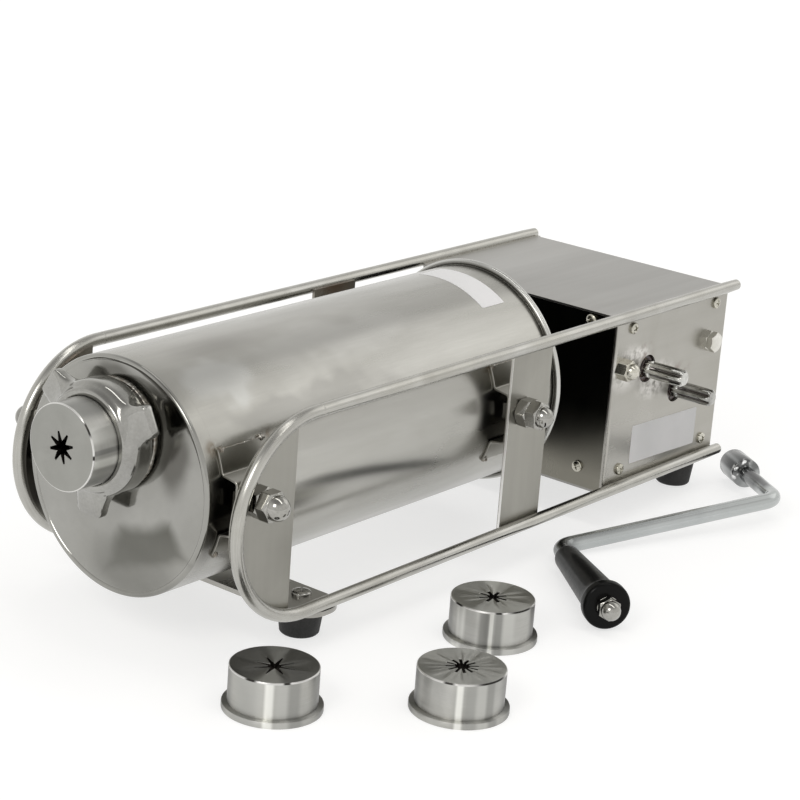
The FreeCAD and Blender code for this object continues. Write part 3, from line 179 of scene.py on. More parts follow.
def turned(radius, height, centre, axis, columns=96, close=True):
    """Rows carried round an axis: centre + radius (cos a, sin a) + height along the axis. The radius is one
    number a row, or rows x columns for shapes that aren't round."""
    side, up, along = square_to(axis)
    a = np.linspace(0, 2 * np.pi, columns, endpoint=False)
    radius = np.asarray(radius, float)
    radius = np.repeat(radius[:, None], columns, 1) if radius.ndim == 1 else radius
    spread = np.cos(a)[:, None] * side + np.sin(a)[:, None] * up
    points = np.array(centre, float) + radius[..., None] * spread
    points = points + np.asarray(height, float)[:, None, None] * along
    return grid(points, close_rows=close, close_columns=True)


def swept(path, radius, normal, columns=32, closed=False):
    """A round bar: at every point of a flat path, a circle across its direction. normal is the
    direction square to the path's plane; radius may change along the path."""
    path = np.asarray(path, float)
    radius = np.broadcast_to(np.asarray(radius, float), len(path))
    if closed:
        ahead = np.roll(path, -1, 0) - np.roll(path, 1, 0)
    else:
        ahead = np.gradient(path, axis=0)
    flat = np.linalg.norm(ahead, axis=1, keepdims=True)
    ahead = ahead / np.where(flat == 0, 1, flat)
    across = np.cross(np.array(normal, float), ahead)
    across /= np.linalg.norm(across, axis=1, keepdims=True)
    over = np.cross(ahead, across)
    a = np.linspace(0, 2 * np.pi, columns, endpoint=False)
    points = path[:, None] + radius[:, None, None] * (
        np.cos(a)[None, :, None] * across[:, None] + np.sin(a)[None, :, None] * over[:, None])
    return grid(points, close_rows=closed, close_columns=True)


def arc(centre, radius, start, end, steps):
    """Points on a circle in a plane, angles in degrees."""
    a = np.radians(np.linspace(start, end, steps))
    return np.stack([centre[0] + radius * np.cos(a), centre[1] + radius * np.sin(a)], -1)


tile = soften([(0, 0, 2), (10, 0, 2), (10, 10, 2), (0, 10, 2)])
print("a square tile with soft corners has", len(tile), "points")

# %% [markdown]
# ## Camera
# A long lens, far off to the front left and a little above the machine, so that parallel edges such as the
# rails close in only a little. It is placed from the machine's own zero and turned by three angles: its
# heading on the floor, its dip below the horizon, and a slight roll.

# %% Camera
CAMERA_AT = (-940.32, -923.20, 579.48)
HEADING, DIP, ROLL = np.radians((37.7203, 17.7936, 4.3642))
LENS = 109.5935

ahead = np.array([np.cos(HEADING) * np.cos(DIP), np.sin(HEADING) * np.cos(DIP), -np.sin(DIP)])
level = np.array([np.sin(HEADING), -np.cos(HEADING), 0.0])
right = np.cos(ROLL) * level + np.sin(ROLL) * np.cross(level, ahead)
lens = bpy.data.cameras.new("camera")
lens.lens = LENS
lens.sensor_width = 36.0
lens.clip_end = 50.0
camera = bpy.data.objects.new("camera", lens)
turn = np.eye(4)
turn[:3, 0], turn[:3, 1], turn[:3, 2] = right, np.cross(right, ahead), -ahead
turn[:3, 3] = np.array(CAMERA_AT) * 0.001 + HOME
camera.matrix_world = Matrix(turn.tolist())
bpy.context.scene.collection.objects.link(camera)
bpy.context.scene.camera = camera
print("camera lens", round(lens.lens, 2), "mm, looking along", ahead.round(3))

# %% [markdown]
# ## Floor, backdrop and light
# The machine stands on a plain pale floor that runs past the edge of every view. Polished steel has hardly
# any colour of its own: it shows the room. So the room matters as much as the metal. A soft dome that is
# even near the horizon and darker overhead gives the wide gentle gradients, and three softboxes give the
# bright streaks: the key is on the left, one is on the right where the barrel and the rods mirror it, and
# one is above. A glow, seen only by the camera and in reflections, brings the floor up to the paper white
# of the backdrop without lighting the object more. It grows away from the machine, where the lamps fade.

# %% Node helpers
def add(tree, kind, inputs=None, **settings):
    """One shader node. Each input is a number, a colour, or the output of another node."""
    node = tree.nodes.new("ShaderNode" + kind)
    for key, value in settings.items():
        setattr(node, key, value)
    for key, value in (inputs or {}).items():
        if isinstance(value, bpy.types.NodeSocket):
            tree.links.new(value, node.inputs[key])
        else:
            node.inputs[key].default_value = value
    return node


def calc(tree, operation, *values):
    """A sum, product or other rule of arithmetic on numbers and outputs."""
    return add(tree, "Math", dict(enumerate(values)), operation=operation).outputs[0]


def times(tree, first, second):
    """The product of two numbers or outputs."""
    return calc(tree, "MULTIPLY", first, second)


def most(tree, *values):
    """The largest of several numbers or outputs."""
    top = values[0]
    for value in values[1:]:
        top = calc(tree, "MAXIMUM", top, value)
    return top


def between(tree, value, low, high, to_low=0.0, to_high=1.0, smooth=False):
    """Maps low..high onto to_low..to_high and holds the ends."""
    kind = "SMOOTHSTEP" if smooth else "LINEAR"
    named = {"Value": value, "From Min": low, "From Max": high, "To Min": to_low, "To Max": to_high}
    return add(tree, "MapRange", named, interpolation_type=kind).outputs[0]


def mixed(tree, factor, first, second, how="MIX"):
    """Colour between the first and the second."""
    first, second = (c if isinstance(c, bpy.types.NodeSocket) else (*c, 1.0) for c in (first, second))
    node = add(tree, "Mix", {0: factor, 6: first, 7: second}, data_type="RGBA", blend_type=how)
    return node.outputs[2]


def noise(tree, vector, scale, detail=3.0, roughness=0.5, distortion=0.0):
    """Cloudy noise between 0 and 1, centred on a half."""
    named = {"Vector": vector, "Scale": scale, "Detail": detail, "Roughness": roughness,
             "Distortion": distortion}
    return add(tree, "TexNoise", named).outputs["Fac"]


def ray_of(tree, *kinds):
    """1 for the named kinds of ray, such as the camera's own, and 0 for the rest."""
    path = add(tree, "LightPath")
    return most(tree, *(path.outputs[kind] for kind in kinds))


# %% Room
world = bpy.data.worlds.new("studio")
bpy.context.scene.world = world
world.use_nodes = True
tree = world.node_tree
tree.nodes.clear()
direction = add(tree, "TexCoord").outputs["Generated"]
rise = add(tree, "SeparateXYZ", {0: direction}).outputs["Z"]
dome = between(tree, rise, 0.45, 1.0, 0.96, 0.40, smooth=True)
dome_colour = mixed(tree, dome, (0.0, 0.0, 0.0), (1.0, 0.993, 0.975))
seen = ray_of(tree, "Is Camera Ray")
room = mixed(tree, seen, dome_colour, (1.0, 1.0, 1.0))
background = add(tree, "Background", {"Color": room, "Strength": 1.0})
tree.links.new(background.outputs[0], add(tree, "OutputWorld").inputs["Surface"])


def softbox(name, at, aim, width, height, power, tint=(1.0, 0.99, 0.97)):
    """A flat lamp that points from one spot at another, both in machine millimetres."""
    lamp = bpy.data.lights.new(name, "AREA")
    lamp.shape, lamp.size, lamp.size_y = "RECTANGLE", width, height
    lamp.energy, lamp.color = power, tint
    holder = bpy.data.objects.new(name, lamp)
    at, aim = np.array(at, float) * 0.001 + HOME, np.array(aim, float) * 0.001 + HOME
    side, up, back = square_to(at - aim)
    pose = np.eye(4)
    pose[:3, 0], pose[:3, 1], pose[:3, 2], pose[:3, 3] = side, up, back, at
    holder.matrix_world = Matrix(pose.tolist())
    bpy.context.scene.collection.objects.link(holder)
    return holder


softbox("left_softbox", (-1250, -350, 1150), (150, 0, 80), 0.60, 0.60, 7.0)
softbox("right_softbox", (1450, -480, 1020), (250, 0, 80), 1.10, 0.90, 1.6)
softbox("overhead_strip", (250, -250, 1500), (250, 0, 90), 1.8, 0.25, 4.0)

floor_material = bpy.data.materials.new("floor_paper")
floor_material.use_nodes = True
tree = floor_material.node_tree
paper = tree.nodes["Principled BSDF"]
paper.inputs["Base Color"].default_value = (0.42, 0.418, 0.412, 1.0)
paper.inputs["Roughness"].default_value = 0.8
paper.inputs["Specular IOR Level"].default_value = 0.1
shown = ray_of(tree, "Is Camera Ray", "Is Glossy Ray", "Is Transmission Ray")
spot = add(tree, "TexCoord").outputs["Object"]
away = add(tree, "VectorMath", {0: spot, 1: (0.0, 0.0, 0.0)}, operation="DISTANCE").outputs["Value"]
lift_to_white = between(tree, away, 0.4, 3.0, 0.64, 0.78, smooth=True)
glow = add(tree, "Emission", {"Color": (1.0, 1.0, 1.0, 1.0),
                              "Strength": times(tree, shown, lift_to_white)})
both = add(tree, "AddShader", {0: paper.outputs[0], 1: glow.outputs[0]})
tree.links.new(both.outputs[0], tree.nodes["Material Output"].inputs["Surface"])

reach = 9.0
floor_mesh = bpy.data.meshes.new("floor")
floor_mesh.from_pydata([(-reach, -reach, 0), (reach, -reach, 0), (reach, reach, 0), (-reach, reach, 0)],
                       [], [(0, 1, 2, 3)])
floor_mesh.materials.append(floor_material)
floor = bpy.data.objects.new("floor", floor_mesh)
bpy.context.scene.collection.objects.link(floor)
floor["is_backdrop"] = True
bpy.context.scene.view_settings.view_transform = "Standard"
print("room, three softboxes and a floor of", 2 * reach, "m")

# %% [markdown]
# ## Finishes
# All the bare metal is stainless or plated steel, and what sets one piece apart from the next is how it was
# worked: rolled sheet keeps long faint grinding lines and cloudy smudges, a lathe leaves fine rings, casting
# leaves soft pits. Each finish is one recipe with other numbers: two near greys, a range of roughness, and a
# shallow relief of lines stretched along the way the tool ran. Slow waves in the relief bend reflections
# the way thin sheet does.

# %% Steel
def steel(name, dark, light, rough, stretch, lines=1400.0, cloud=16.0, smear=(1.0, 1.0, 1.0), relief=0.25,
          waves=0.0, wave_size=9.0, grain=0.25, on_surface=False, swirl=0.0, extra=None):
    """Metal whose colour, roughness and relief follow fine lines (noise squeezed by stretch) and soft
    clouds (noise squeezed by smear). grain is the lines' share of the colour. on_surface measures the lines
    along the piece's own UV map, else along machine X, Y and Z. swirl is the anisotropy of turned
    work, whose glints run square to the UV map's first direction, across the rings."""
    material = bpy.data.materials.new(name)
    material.use_nodes = True
    tree = material.node_tree
    shader = tree.nodes["Principled BSDF"]
    spot = add(tree, "TexCoord")
    place = spot.outputs["UV" if on_surface else "Object"]
    squeezed = add(tree, "Mapping", {"Vector": place, "Scale": stretch}).outputs[0]
    smeared = add(tree, "Mapping", {"Vector": spot.outputs["Object"], "Scale": smear}).outputs[0]
    fine = noise(tree, squeezed, lines, 4.0, 0.6)
    smudge = noise(tree, smeared, cloud, 4.0, 0.55, 0.6)
    tint = noise(tree, smeared, cloud * 0.6, 2.0, 0.5, 0.3)
    streak = noise(tree, squeezed, lines * 0.06, 3.0, 0.6)
    tone_share = calc(tree, "ADD", times(tree, fine, grain), times(tree, smudge, 0.75 - grain))
    tone_share = calc(tree, "ADD", tone_share, times(tree, streak, 0.25))
    colour = mixed(tree, between(tree, tone_share, 0.34, 0.66), dark, light)
    warm = mixed(tree, between(tree, tint, 0.3, 0.7, 0.0, 0.35), colour, (1.0, 0.988, 0.925), "MULTIPLY")
    colour = mixed(tree, 1.0, colour, warm)
    grip = between(tree, tone_share, 0.34, 0.66, rough[1], rough[0])
    if extra:
        colour, grip = extra(tree, spot.outputs["Object"], colour, grip)
    tree.links.new(colour, shader.inputs["Base Color"])
    tree.links.new(grip, shader.inputs["Roughness"])
    shader.inputs["Metallic"].default_value = 1.0
    normal = None
    if waves:
        slow = noise(tree, spot.outputs["Object"], wave_size, 2.0, 0.45)
        normal = add(tree, "Bump", {"Height": slow, "Strength": 1.0, "Distance": waves}).outputs[0]
    named = {"Height": fine, "Strength": relief, "Distance": 0.00008}
    if normal:
        named["Normal"] = normal
    tree.links.new(add(tree, "Bump", named).outputs[0], shader.inputs["Normal"])
    if swirl:
        shader.inputs["Anisotropic"].default_value = swirl
        shader.inputs["Anisotropic Rotation"].default_value = 0.25
        tangent = add(tree, "Tangent", direction_type="UV_MAP", uv_map="surface")
        tree.links.new(tangent.outputs[0], shader.inputs["Tangent"])
    return material


def toward(tree, place, centre, size):
    """Falls from 1 at a machine point to 0 at an ellipsoid of the given half sizes, in millimetres."""
    at, squeeze = np.array(centre) * 0.001 + HOME, 1000.0 / np.array(size, float)
    near = add(tree, "VectorMath", {0: place, 1: tuple(at)}, operation="SUBTRACT").outputs[0]
    near = add(tree, "VectorMath", {0: near, 1: tuple(squeeze)}, operation="MULTIPLY").outputs[0]
    far = add(tree, "VectorMath", {0: near}, operation="LENGTH").outputs["Value"]
    return between(tree, far, 0.0, 1.0, 1.0, 0.0, smooth=True)


def millimetres(tree, place, centre=(0.0, 0.0, 0.0)):
    """The X, Y and Z of a place, in machine millimetres from a centre."""
    zero = tuple(HOME + np.array(centre, float) * 0.001)
    moved = add(tree, "VectorMath", {0: place, 1: zero}, operation="SUBTRACT").outputs[0]
    moved = add(tree, "VectorMath", {0: moved, "Scale": 1000.0}, operation="SCALE").outputs[0]
    parts = add(tree, "SeparateXYZ", {0: moved})
    return parts.outputs["X"], parts.outputs["Y"], parts.outputs["Z"]


def blend(tree, first, first_share, second, second_share, plus=0.0):
    """first times its share, and second times its share, and a constant."""
    both = calc(tree, "ADD", times(tree, first, first_share), times(tree, second, second_share))
    return calc(tree, "ADD", both, plus)


def cloudy(tree, place, amount, scale, low, high):
    """An amount broken up by noise: kept where the noise is over high, gone where it is under low."""
    return times(tree, amount, between(tree, noise(tree, place, scale, 3.0, 0.6), low, high))


def bent_place(tree, place, scale, reach):
    """The place, pushed about by the three colours of a noise, so that the edge of a spot wanders."""
    ripple = add(tree, "TexNoise", {"Vector": place, "Scale": scale, "Detail": 2.0}).outputs["Color"]
    push = add(tree, "VectorMath", {0: ripple, 1: (0.5, 0.5, 0.5)}, operation="SUBTRACT").outputs[0]
    push = add(tree, "VectorMath", {0: push, "Scale": reach}, operation="SCALE").outputs[0]
    return add(tree, "VectorMath", {0: place, 1: push}, operation="ADD").outputs[0]


def soft_spot(tree, place, colour, centre, size, tone, strength, over=(0.0, 0.7)):
    """The colour with a spot of another tone round a machine point. over gives the nearness at which the
    tone starts and at which it reaches its strength."""
    share = between(tree, toward(tree, place, centre, size), *over, 0.0, strength, smooth=True)
    return mixed(tree, share, colour, tone)


# %% [markdown]
# Some marks sit at one place: the brown of welding heat, the painted shade in the gap before the rear bead,
# the painted dark reflections on the cap, the scuffed steel round the shafts. Each is an amount between 0 and
# 1 that falls off round a machine point, and it pulls the colour its own way. Where a mark is ragged, noise
# breaks the amount up or bends the place it is measured at.

# %% Heat marks and painted light on the barrel and the cap
def barrel_heat_and_painted_light(tree, place, colour, grip):
    """Painted shade in the gap before the rear bead and a painted highlight on the bead, painted shade beside
    the near brackets, brown heat at their ends, a darker patch on top near the cap, and long soft painted
    highlights and a painted darker stretch up the near side."""
    along = millimetres(tree, place)[0]
    # Painted shade in the groove before the rear bead, and a painted highlight on the bead.
    gap = times(tree, between(tree, along, 318.5, 322.2, smooth=True), between(tree, along, 324.0, 323.0))
    colour = mixed(tree, times(tree, gap, 0.75), colour, (0.05, 0.048, 0.043))
    bead = between(tree, along, 323.3, 323.8)
    colour = mixed(tree, times(tree, bead, 0.7), colour, (0.62, 0.62, 0.60))
    # Painted shade before the front bracket and beside both near brackets.
    shade = toward(tree, place, (3, -68, 92), (16, 24, 50))
    colour = mixed(tree, times(tree, shade, 0.85), colour, (0.05, 0.047, 0.042))
    for centre, size in (((11, -71, 98), (15, 18, 36)), ((264, -70, 101), (27, 18, 32))):
        colour = soft_spot(tree, place, colour, centre, size, (0.05, 0.047, 0.04), 0.85, (0.05, 0.5))
    for x in (5.0, 257.0, 49.0, 301.0):
        heat = toward(tree, place, (x, -62, 133), (9, 14, 8))
        colour = mixed(tree, cloudy(tree, place, heat, 160.0, 0.3, 0.6), colour, (0.17, 0.125, 0.08))
    # A darker patch on top near the cap.
    dark_share = toward(tree, place, (58, -14, 173), (62, 16, 10))
    colour = mixed(tree, times(tree, dark_share, 0.45), colour, (0.20, 0.19, 0.175))
    # Painted highlights and a painted darker band along the near side.
    bent = bent_place(tree, place, 26.0, 0.045)
    colour = soft_spot(tree, bent, colour, (34, -36, 161), (34, 24, 22), (0.60, 0.605, 0.59), 0.45,
                       (0.0, 0.6))
    colour = soft_spot(tree, bent, colour, (140, -34, 165), (125, 26, 20), (0.56, 0.555, 0.53), 0.30)
    colour = soft_spot(tree, bent, colour, (95, -57, 145), (130, 17, 18), (0.255, 0.25, 0.235), 0.5)
    return colour, grip


# Corners of a painted dark reflection low on the cap's face, as (across, height) in millimetres.
TRAPEZOID = np.array([(-46.1, 87.1), (-59.6, 65.2), (7.9, 41.1), (-8.6, 75.9)])


def cap_painted_reflections(tree, place, colour, grip):
    """Painted reflections on the polished cap: a soft dark crescent of three spots over the outlet and down
    beside it, a painted darker lower face, and a dark trapezoid on that. The distance inside the trapezoid is
    the smallest of the distances from its four sides."""
    bent = bent_place(tree, place, 34.0, 0.012)
    # Painted dark reflections round the outlet.
    dark = most(tree, toward(tree, bent, (-6, 5, 161), (30, 32, 13)),
                toward(tree, bent, (-6, -34, 151), (30, 22, 24)),
                toward(tree, bent, (-6, -46, 124), (30, 15, 34)))
    _, across, up = millimetres(tree, bent)
    inside = 100.0
    for start, end in zip(TRAPEZOID, np.roll(TRAPEZOID, -1, 0)):
        run = (end - start) / np.linalg.norm(end - start)
        side = blend(tree, across, -run[1], up, run[0], float(run[1] * start[0] - run[0] * start[1]))
        inside = calc(tree, "MINIMUM", inside, side)
    low = times(tree, between(tree, inside, -3.0, 7.0, smooth=True), between(tree, up, 44.0, 84.0, 0.35, 1.0))
    dark_share = between(tree, dark, 0.0, 0.8, 0.0, 0.72, smooth=True)
    colour = mixed(tree, dark_share, colour, (0.075, 0.071, 0.062))
    # Painted shade over the lower face.
    colour = soft_spot(tree, bent, colour, (-6, -16, 50), (30, 54, 34), (0.125, 0.124, 0.112), 0.42)
    colour = mixed(tree, times(tree, low, 0.85), colour, (0.075, 0.074, 0.062))
    return colour, grip


# %% Marks on the panel, the plates and the straps
def panel_marks(tree, place, colour, grip):
    """Scuffed bright steel and dried grease round the shafts and the front guide nut."""
    scuff = most(tree, toward(tree, place, (391, -84, 111), (27, 10, 20)),
                 toward(tree, place, (428, -84, 96), (30, 10, 17)),
                 toward(tree, place, (400, -84, 118), (22, 10, 9)))
    scuff = cloudy(tree, place, between(tree, scuff, 0.0, 0.7), 210.0, 0.34, 0.56)
    colour = mixed(tree, scuff, colour, (0.80, 0.78, 0.75))
    grip = calc(tree, "ADD", grip, times(tree, scuff, 0.2))
    stain = most(tree, toward(tree, place, (412, -84, 118), (13, 10, 12)),
                 toward(tree, place, (455, -84, 97), (22, 10, 10)))
    colour = mixed(tree, cloudy(tree, place, stain, 120.0, 0.50, 0.68), colour, (0.24, 0.19, 0.17))
    return colour, grip


def plate_painted_reflection(tree, place, colour, grip):
    """Painted reflection: from near black, the plate turns brown-grey towards its lower edge."""
    height = millimetres(tree, place)[2]
    # The share of the painted reflection, growing towards the lower edge.
    thin = calc(tree, "POWER", between(tree, height, 85.0, 34.0), 1.4)
    return mixed(tree, thin, colour, (0.25, 0.24, 0.205)), grip


def strap_heat_and_painted_shade(tree, place, colour, grip):
    """Deep shade over the front far strap, and brown heat high on both far straps, by the top rail."""
    # Painted shade over the front far strap.
    shade = toward(tree, place, (6, 83, 92), (46, 20, 64))
    colour = mixed(tree, between(tree, shade, 0.0, 0.5, 0.0, 0.9), colour, (0.035, 0.032, 0.027))
    for x in (279.0, 28.0):
        heat = toward(tree, place, (x, 83, 150), (34, 12, 17))
        colour = mixed(tree, cloudy(tree, place, heat, 90.0, 0.15, 0.40), colour, (0.15, 0.105, 0.075))
    return colour, grip


def strap_painted_edge_highlight(tree, place, colour, grip):
    """A painted bright highlight along the front arris of the rear strap."""
    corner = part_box("rear_strap_near")[0]
    parts = add(tree, "SeparateXYZ", {0: place})
    x, y = parts.outputs["X"], parts.outputs["Y"]
    line = times(tree, between(tree, x, corner.x + 0.0003, corner.x + 0.0001),
                 between(tree, y, corner.y + 0.0019, corner.y + 0.0013))
    line = times(tree, line, between(tree, x, corner.x - 0.002, corner.x - 0.001))
    return mixed(tree, line, colour, (0.95, 0.94, 0.92)), calc(tree, "ADD", grip, times(tree, line, 0.1))


def weld_heat(tree, place, colour, grip):
    """Straw and brown over the whole bead, in small spots."""
    burnt = between(tree, noise(tree, place, 240.0, 3.0, 0.6), 0.42, 0.66, 0.0, 0.75)
    return mixed(tree, burnt, colour, (0.19, 0.155, 0.12)), grip


# %% [markdown]
# The crank and the nozzles are round, and what their surfaces mirror runs along them in stripes. So the
# reflections painted on them are stripes drawn by the angle round an axis. On the crank and the loose nozzles
# zero is the side turned to the camera, and on the mounted nozzle it is the top.

# %% Painted reflections round an axis
def about(tree, place, foot, axis):
    """The angle round an axis, in degrees from the side that is turned to the camera, and the millimetres
    along it. That side is the way to the camera, less its part along the axis."""
    axis, view = np.array(axis), np.array(CAMERA_AT) - foot
    facing = view - (view @ axis) * axis / (axis @ axis)
    facing /= np.linalg.norm(facing)
    zero = tuple(HOME + np.array(foot) * 0.001)
    moved = add(tree, "VectorMath", {0: place, 1: zero}, operation="SUBTRACT").outputs[0]
    along, ahead, aside = (
        add(tree, "VectorMath", {0: moved, 1: tuple(way * 1000.0)}, operation="DOT_PRODUCT").outputs["Value"]
        for way in (axis, facing, np.cross(axis, facing)))
    return calc(tree, "DEGREES", calc(tree, "ARCTAN2", aside, ahead)), along


def near_angle(tree, angle, middle, half):
    """1 near the middle angle and 0 from half a width away, across the jump at 180 degrees too."""
    off = calc(tree, "ABSOLUTE", calc(tree, "SUBTRACT", angle, middle))
    off = calc(tree, "MINIMUM", off, calc(tree, "SUBTRACT", 360.0, off))
    return between(tree, off, half, half * 0.35, smooth=True)


def from_axis(tree, first, second):
    """How far a place lies from an axis: the root of the sum of its two squared offsets."""
    squared = calc(tree, "ADD", times(tree, first, first), times(tree, second, second))
    return calc(tree, "POWER", squared, 0.5)


# The direction in which the crank's socket and its grip point, and places close to the middle of the
# socket's mouth and of the grip's end.
LEG = (-0.6519, -0.75434, 0.07749)
HUB_AT, GRIP_AT = (539.2, -89.36, 11.24), (231.18, -188.38, 15.74)


def hub_shade(tree, place, colour, grip):
    """Painted reflections on the socket: long dark stripes, a painted darker end where the rod is welded in,
    and painted bright glints there.
    """
    angle, along = about(tree, place, HUB_AT, LEG)
    # Painted dark reflection stripes along the socket.
    for middle, half, grey in ((8, 30, 0.030), (-42, 34, 0.085), (72, 44, 0.24), (-95, 30, 0.14)):
        shade = times(tree, near_angle(tree, angle, middle, half), 0.85)
        colour = mixed(tree, shade, colour, (grey, grey * 1.03, grey * 1.03))
    # Painted bright glints and a painted darker end where the rod is welded in.
    spots = between(tree, noise(tree, place, 210.0, 2.0, 0.5), 0.53, 0.60)
    end = times(tree, between(tree, along, 25.5, 29.5), near_angle(tree, angle, 0, 85))
    colour = mixed(tree, times(tree, end, 0.6), colour, (0.10, 0.10, 0.10))
    return mixed(tree, times(tree, end, spots), colour, (0.98, 0.98, 0.98)), grip


def zinc_shade(tree, place, colour, grip):
    """Painted shade: a darker plating colour along the leg behind the hub and at the bend by the grip, and a
    painted dark stripe down that leg."""
    # Painted shade along the leg behind the hub and at the bend by the grip.
    painted_shade_share = most(tree, toward(tree, place, (507, -126, 14), (28, 32, 30)),
                toward(tree, place, (300, -104, 7), (28, 26, 30)))
    painted_shade_share = between(tree, painted_shade_share, 0.0, 0.6, 0.0, 0.88, smooth=True)
    colour = mixed(tree, painted_shade_share, colour, (0.13, 0.135, 0.135))
    # A painted dark stripe down the leg behind the hub.
    angle, along = about(tree, place, HUB_AT, LEG)
    stripe = times(tree, near_angle(tree, angle, -35, 40), between(tree, along, 84.0, 76.0))
    stripe = times(tree, stripe, between(tree, along, 20.0, 24.0))
    return mixed(tree, times(tree, stripe, 0.8), colour, (0.055, 0.055, 0.057)), grip


# The way from the nozzles to the camera, in degrees from machine X.
TO_CAMERA = 218.0


def nozzle_painted_reflections(centre, top, bands, fans, bevel_dark_gaps, standing=True):
    """Painted reflections on a turned nozzle: light and dark as a function of the angle round its axis. The
    side
    takes bands and the top takes fans: (middle, half width, grey), in degrees from the front of a standing
    nozzle and from the top of a lying one. top is the grey painted on the top face, the bevel takes a painted
    highlight, and bevel_dark_gaps are painted dark stretches of that highlight: (from, to)."""
    def extra(tree, place, colour, grip):
        x, y, z = millimetres(tree, place, centre)
        if not standing:
            x, y, z = z, times(tree, y, -1.0), times(tree, x, -1.0)
        facing = np.radians(TO_CAMERA if standing else 0.0)
        ahead, aside = float(np.cos(facing)), float(np.sin(facing))
        front, right = blend(tree, x, ahead, y, aside), blend(tree, x, -aside, y, ahead)
        angle = calc(tree, "DEGREES", calc(tree, "ARCTAN2", right, front))
        # Painted reflections: a painted grey on the top face, bands on the side and fans on the top.
        side, face = colour, mixed(tree, 0.8, colour, (top, top, top * 0.93))
        for middle, half, grey in bands:
            lobe = times(tree, near_angle(tree, angle, middle, half), 0.8)
            side = mixed(tree, lobe, side, (grey, grey, grey * 0.95))
        for middle, half, grey in fans:
            lobe = times(tree, near_angle(tree, angle, middle, half), 0.8)
            face = mixed(tree, lobe, face, (grey, grey, grey * 0.94))
        on_top = between(tree, z, 24.9, 25.1)
        colour = mixed(tree, on_top, side, face)
        # A painted highlight along the face's bevel, broken by painted dark gaps.
        bevel = times(tree, between(tree, from_axis(tree, x, y), 24.75, 24.95), on_top)
        colour = mixed(tree, times(tree, bevel, 0.7), colour, (0.88, 0.87, 0.85))
        for start, end in bevel_dark_gaps:
            gone = times(tree, near_angle(tree, angle, (start + end) / 2, (end - start) / 1.4), bevel)
            colour = mixed(tree, gone, colour, (0.04, 0.038, 0.035))
        return colour, grip
    return extra


# %% The steels
sheet_steel = steel("rolled_sheet_steel", (0.36, 0.352, 0.33), (0.44, 0.432, 0.41), (0.24, 0.36),
                    (0.03, 1.0, 1.0), lines=1500.0, cloud=9.0, smear=(0.4, 1.0, 1.0), relief=0.05,
                    waves=0.0006, wave_size=6.0, grain=0.10)
# The cover on top takes a darker copy of the rolled sheet steel, as painted shade.
shaded_cover_steel = steel("rolled_cover_steel_painted_shade", (0.315, 0.309, 0.296), (0.365, 0.359, 0.346), (0.28, 0.38),
                    (0.03, 1.0, 1.0), lines=1500.0, cloud=8.0, smear=(0.4, 1.0, 1.0), relief=0.02,
                    waves=0.0005, wave_size=6.0, grain=0.05)
panel_steel = steel("near_panel_steel", (0.365, 0.355, 0.325), (0.435, 0.425, 0.40), (0.24, 0.36),
                    (0.03, 1.0, 1.0), lines=1500.0, cloud=9.0, relief=0.05, waves=0.0006, wave_size=6.0,
                    grain=0.10, extra=panel_marks)
barrel_steel = steel("rolled_barrel_steel", (0.355, 0.35, 0.325), (0.46, 0.455, 0.43), (0.18, 0.31),
                     (0.05, 1.0, 1.0), lines=1100.0, cloud=15.0, smear=(0.35, 1.0, 1.0), relief=0.04,
                     waves=0.0014, wave_size=9.0, grain=0.10, extra=barrel_heat_and_painted_light)
cap_steel = steel("polished_cap_steel", (0.28, 0.278, 0.262), (0.37, 0.368, 0.350), (0.08, 0.15),
                  (1.0, 1.0, 1.0), lines=700.0, cloud=14.0, relief=0.02, waves=0.0016, wave_size=13.0,
                  grain=0.05, extra=cap_painted_reflections)
rail_steel = steel("bright_rod_steel", (0.36, 0.352, 0.325), (0.52, 0.515, 0.49), (0.19, 0.32),
                   (1.0, 0.02, 1.0), lines=1600.0, cloud=30.0, relief=0.10, grain=0.35, on_surface=True)
strap_steel = steel("ground_strap_steel", (0.275, 0.268, 0.243), (0.345, 0.338, 0.31), (0.28, 0.36),
                    (1.0, 1.0, 0.06), lines=1500.0, cloud=10.0, relief=0.01, grain=0.03, extra=strap_painted_edge_highlight)
far_strap_steel = steel("heated_strap_steel_painted_shade", (0.275, 0.268, 0.24), (0.345, 0.338, 0.31), (0.24, 0.36),
                        (1.0, 1.0, 0.06), lines=1500.0, cloud=22.0, relief=0.05, grain=0.12, extra=strap_heat_and_painted_shade)
nut_steel = steel("bright_nut_steel", (0.27, 0.265, 0.248), (0.42, 0.415, 0.395), (0.07, 0.16),
                  (1.0, 1.0, 1.0), lines=900.0, cloud=90.0, relief=0.08)
plated_steel = steel("bright_plated_steel", (0.56, 0.55, 0.51), (0.80, 0.79, 0.75), (0.26, 0.42),
                     (1.0, 1.0, 1.0), lines=900.0, cloud=80.0, relief=0.05)
yellowed_steel = steel("yellowed_plated_steel", (0.40, 0.385, 0.33), (0.66, 0.645, 0.58), (0.16, 0.30),
                       (1.0, 1.0, 1.0), lines=900.0, cloud=110.0, relief=0.08)
cast_steel = steel("cast_ring_nut_steel", (0.26, 0.257, 0.242), (0.41, 0.407, 0.39), (0.08, 0.17),
                   (1.0, 1.0, 1.0), lines=650.0, cloud=24.0, relief=0.08, waves=0.0005, wave_size=45.0)
weld_steel = steel("welded_steel", (0.20, 0.19, 0.17), (0.50, 0.49, 0.46), (0.22, 0.42),
                   (1.0, 1.0, 1.0), lines=420.0, cloud=120.0, relief=0.5, waves=0.0006, wave_size=260.0,
                   extra=weld_heat)
turned_steel = steel("turned_nozzle_steel", (0.33, 0.327, 0.308), (0.46, 0.457, 0.44), (0.26, 0.40),
                     (0.02, 1.0, 1.0), lines=2600.0, cloud=30.0, relief=0.12, on_surface=True, swirl=0.85)
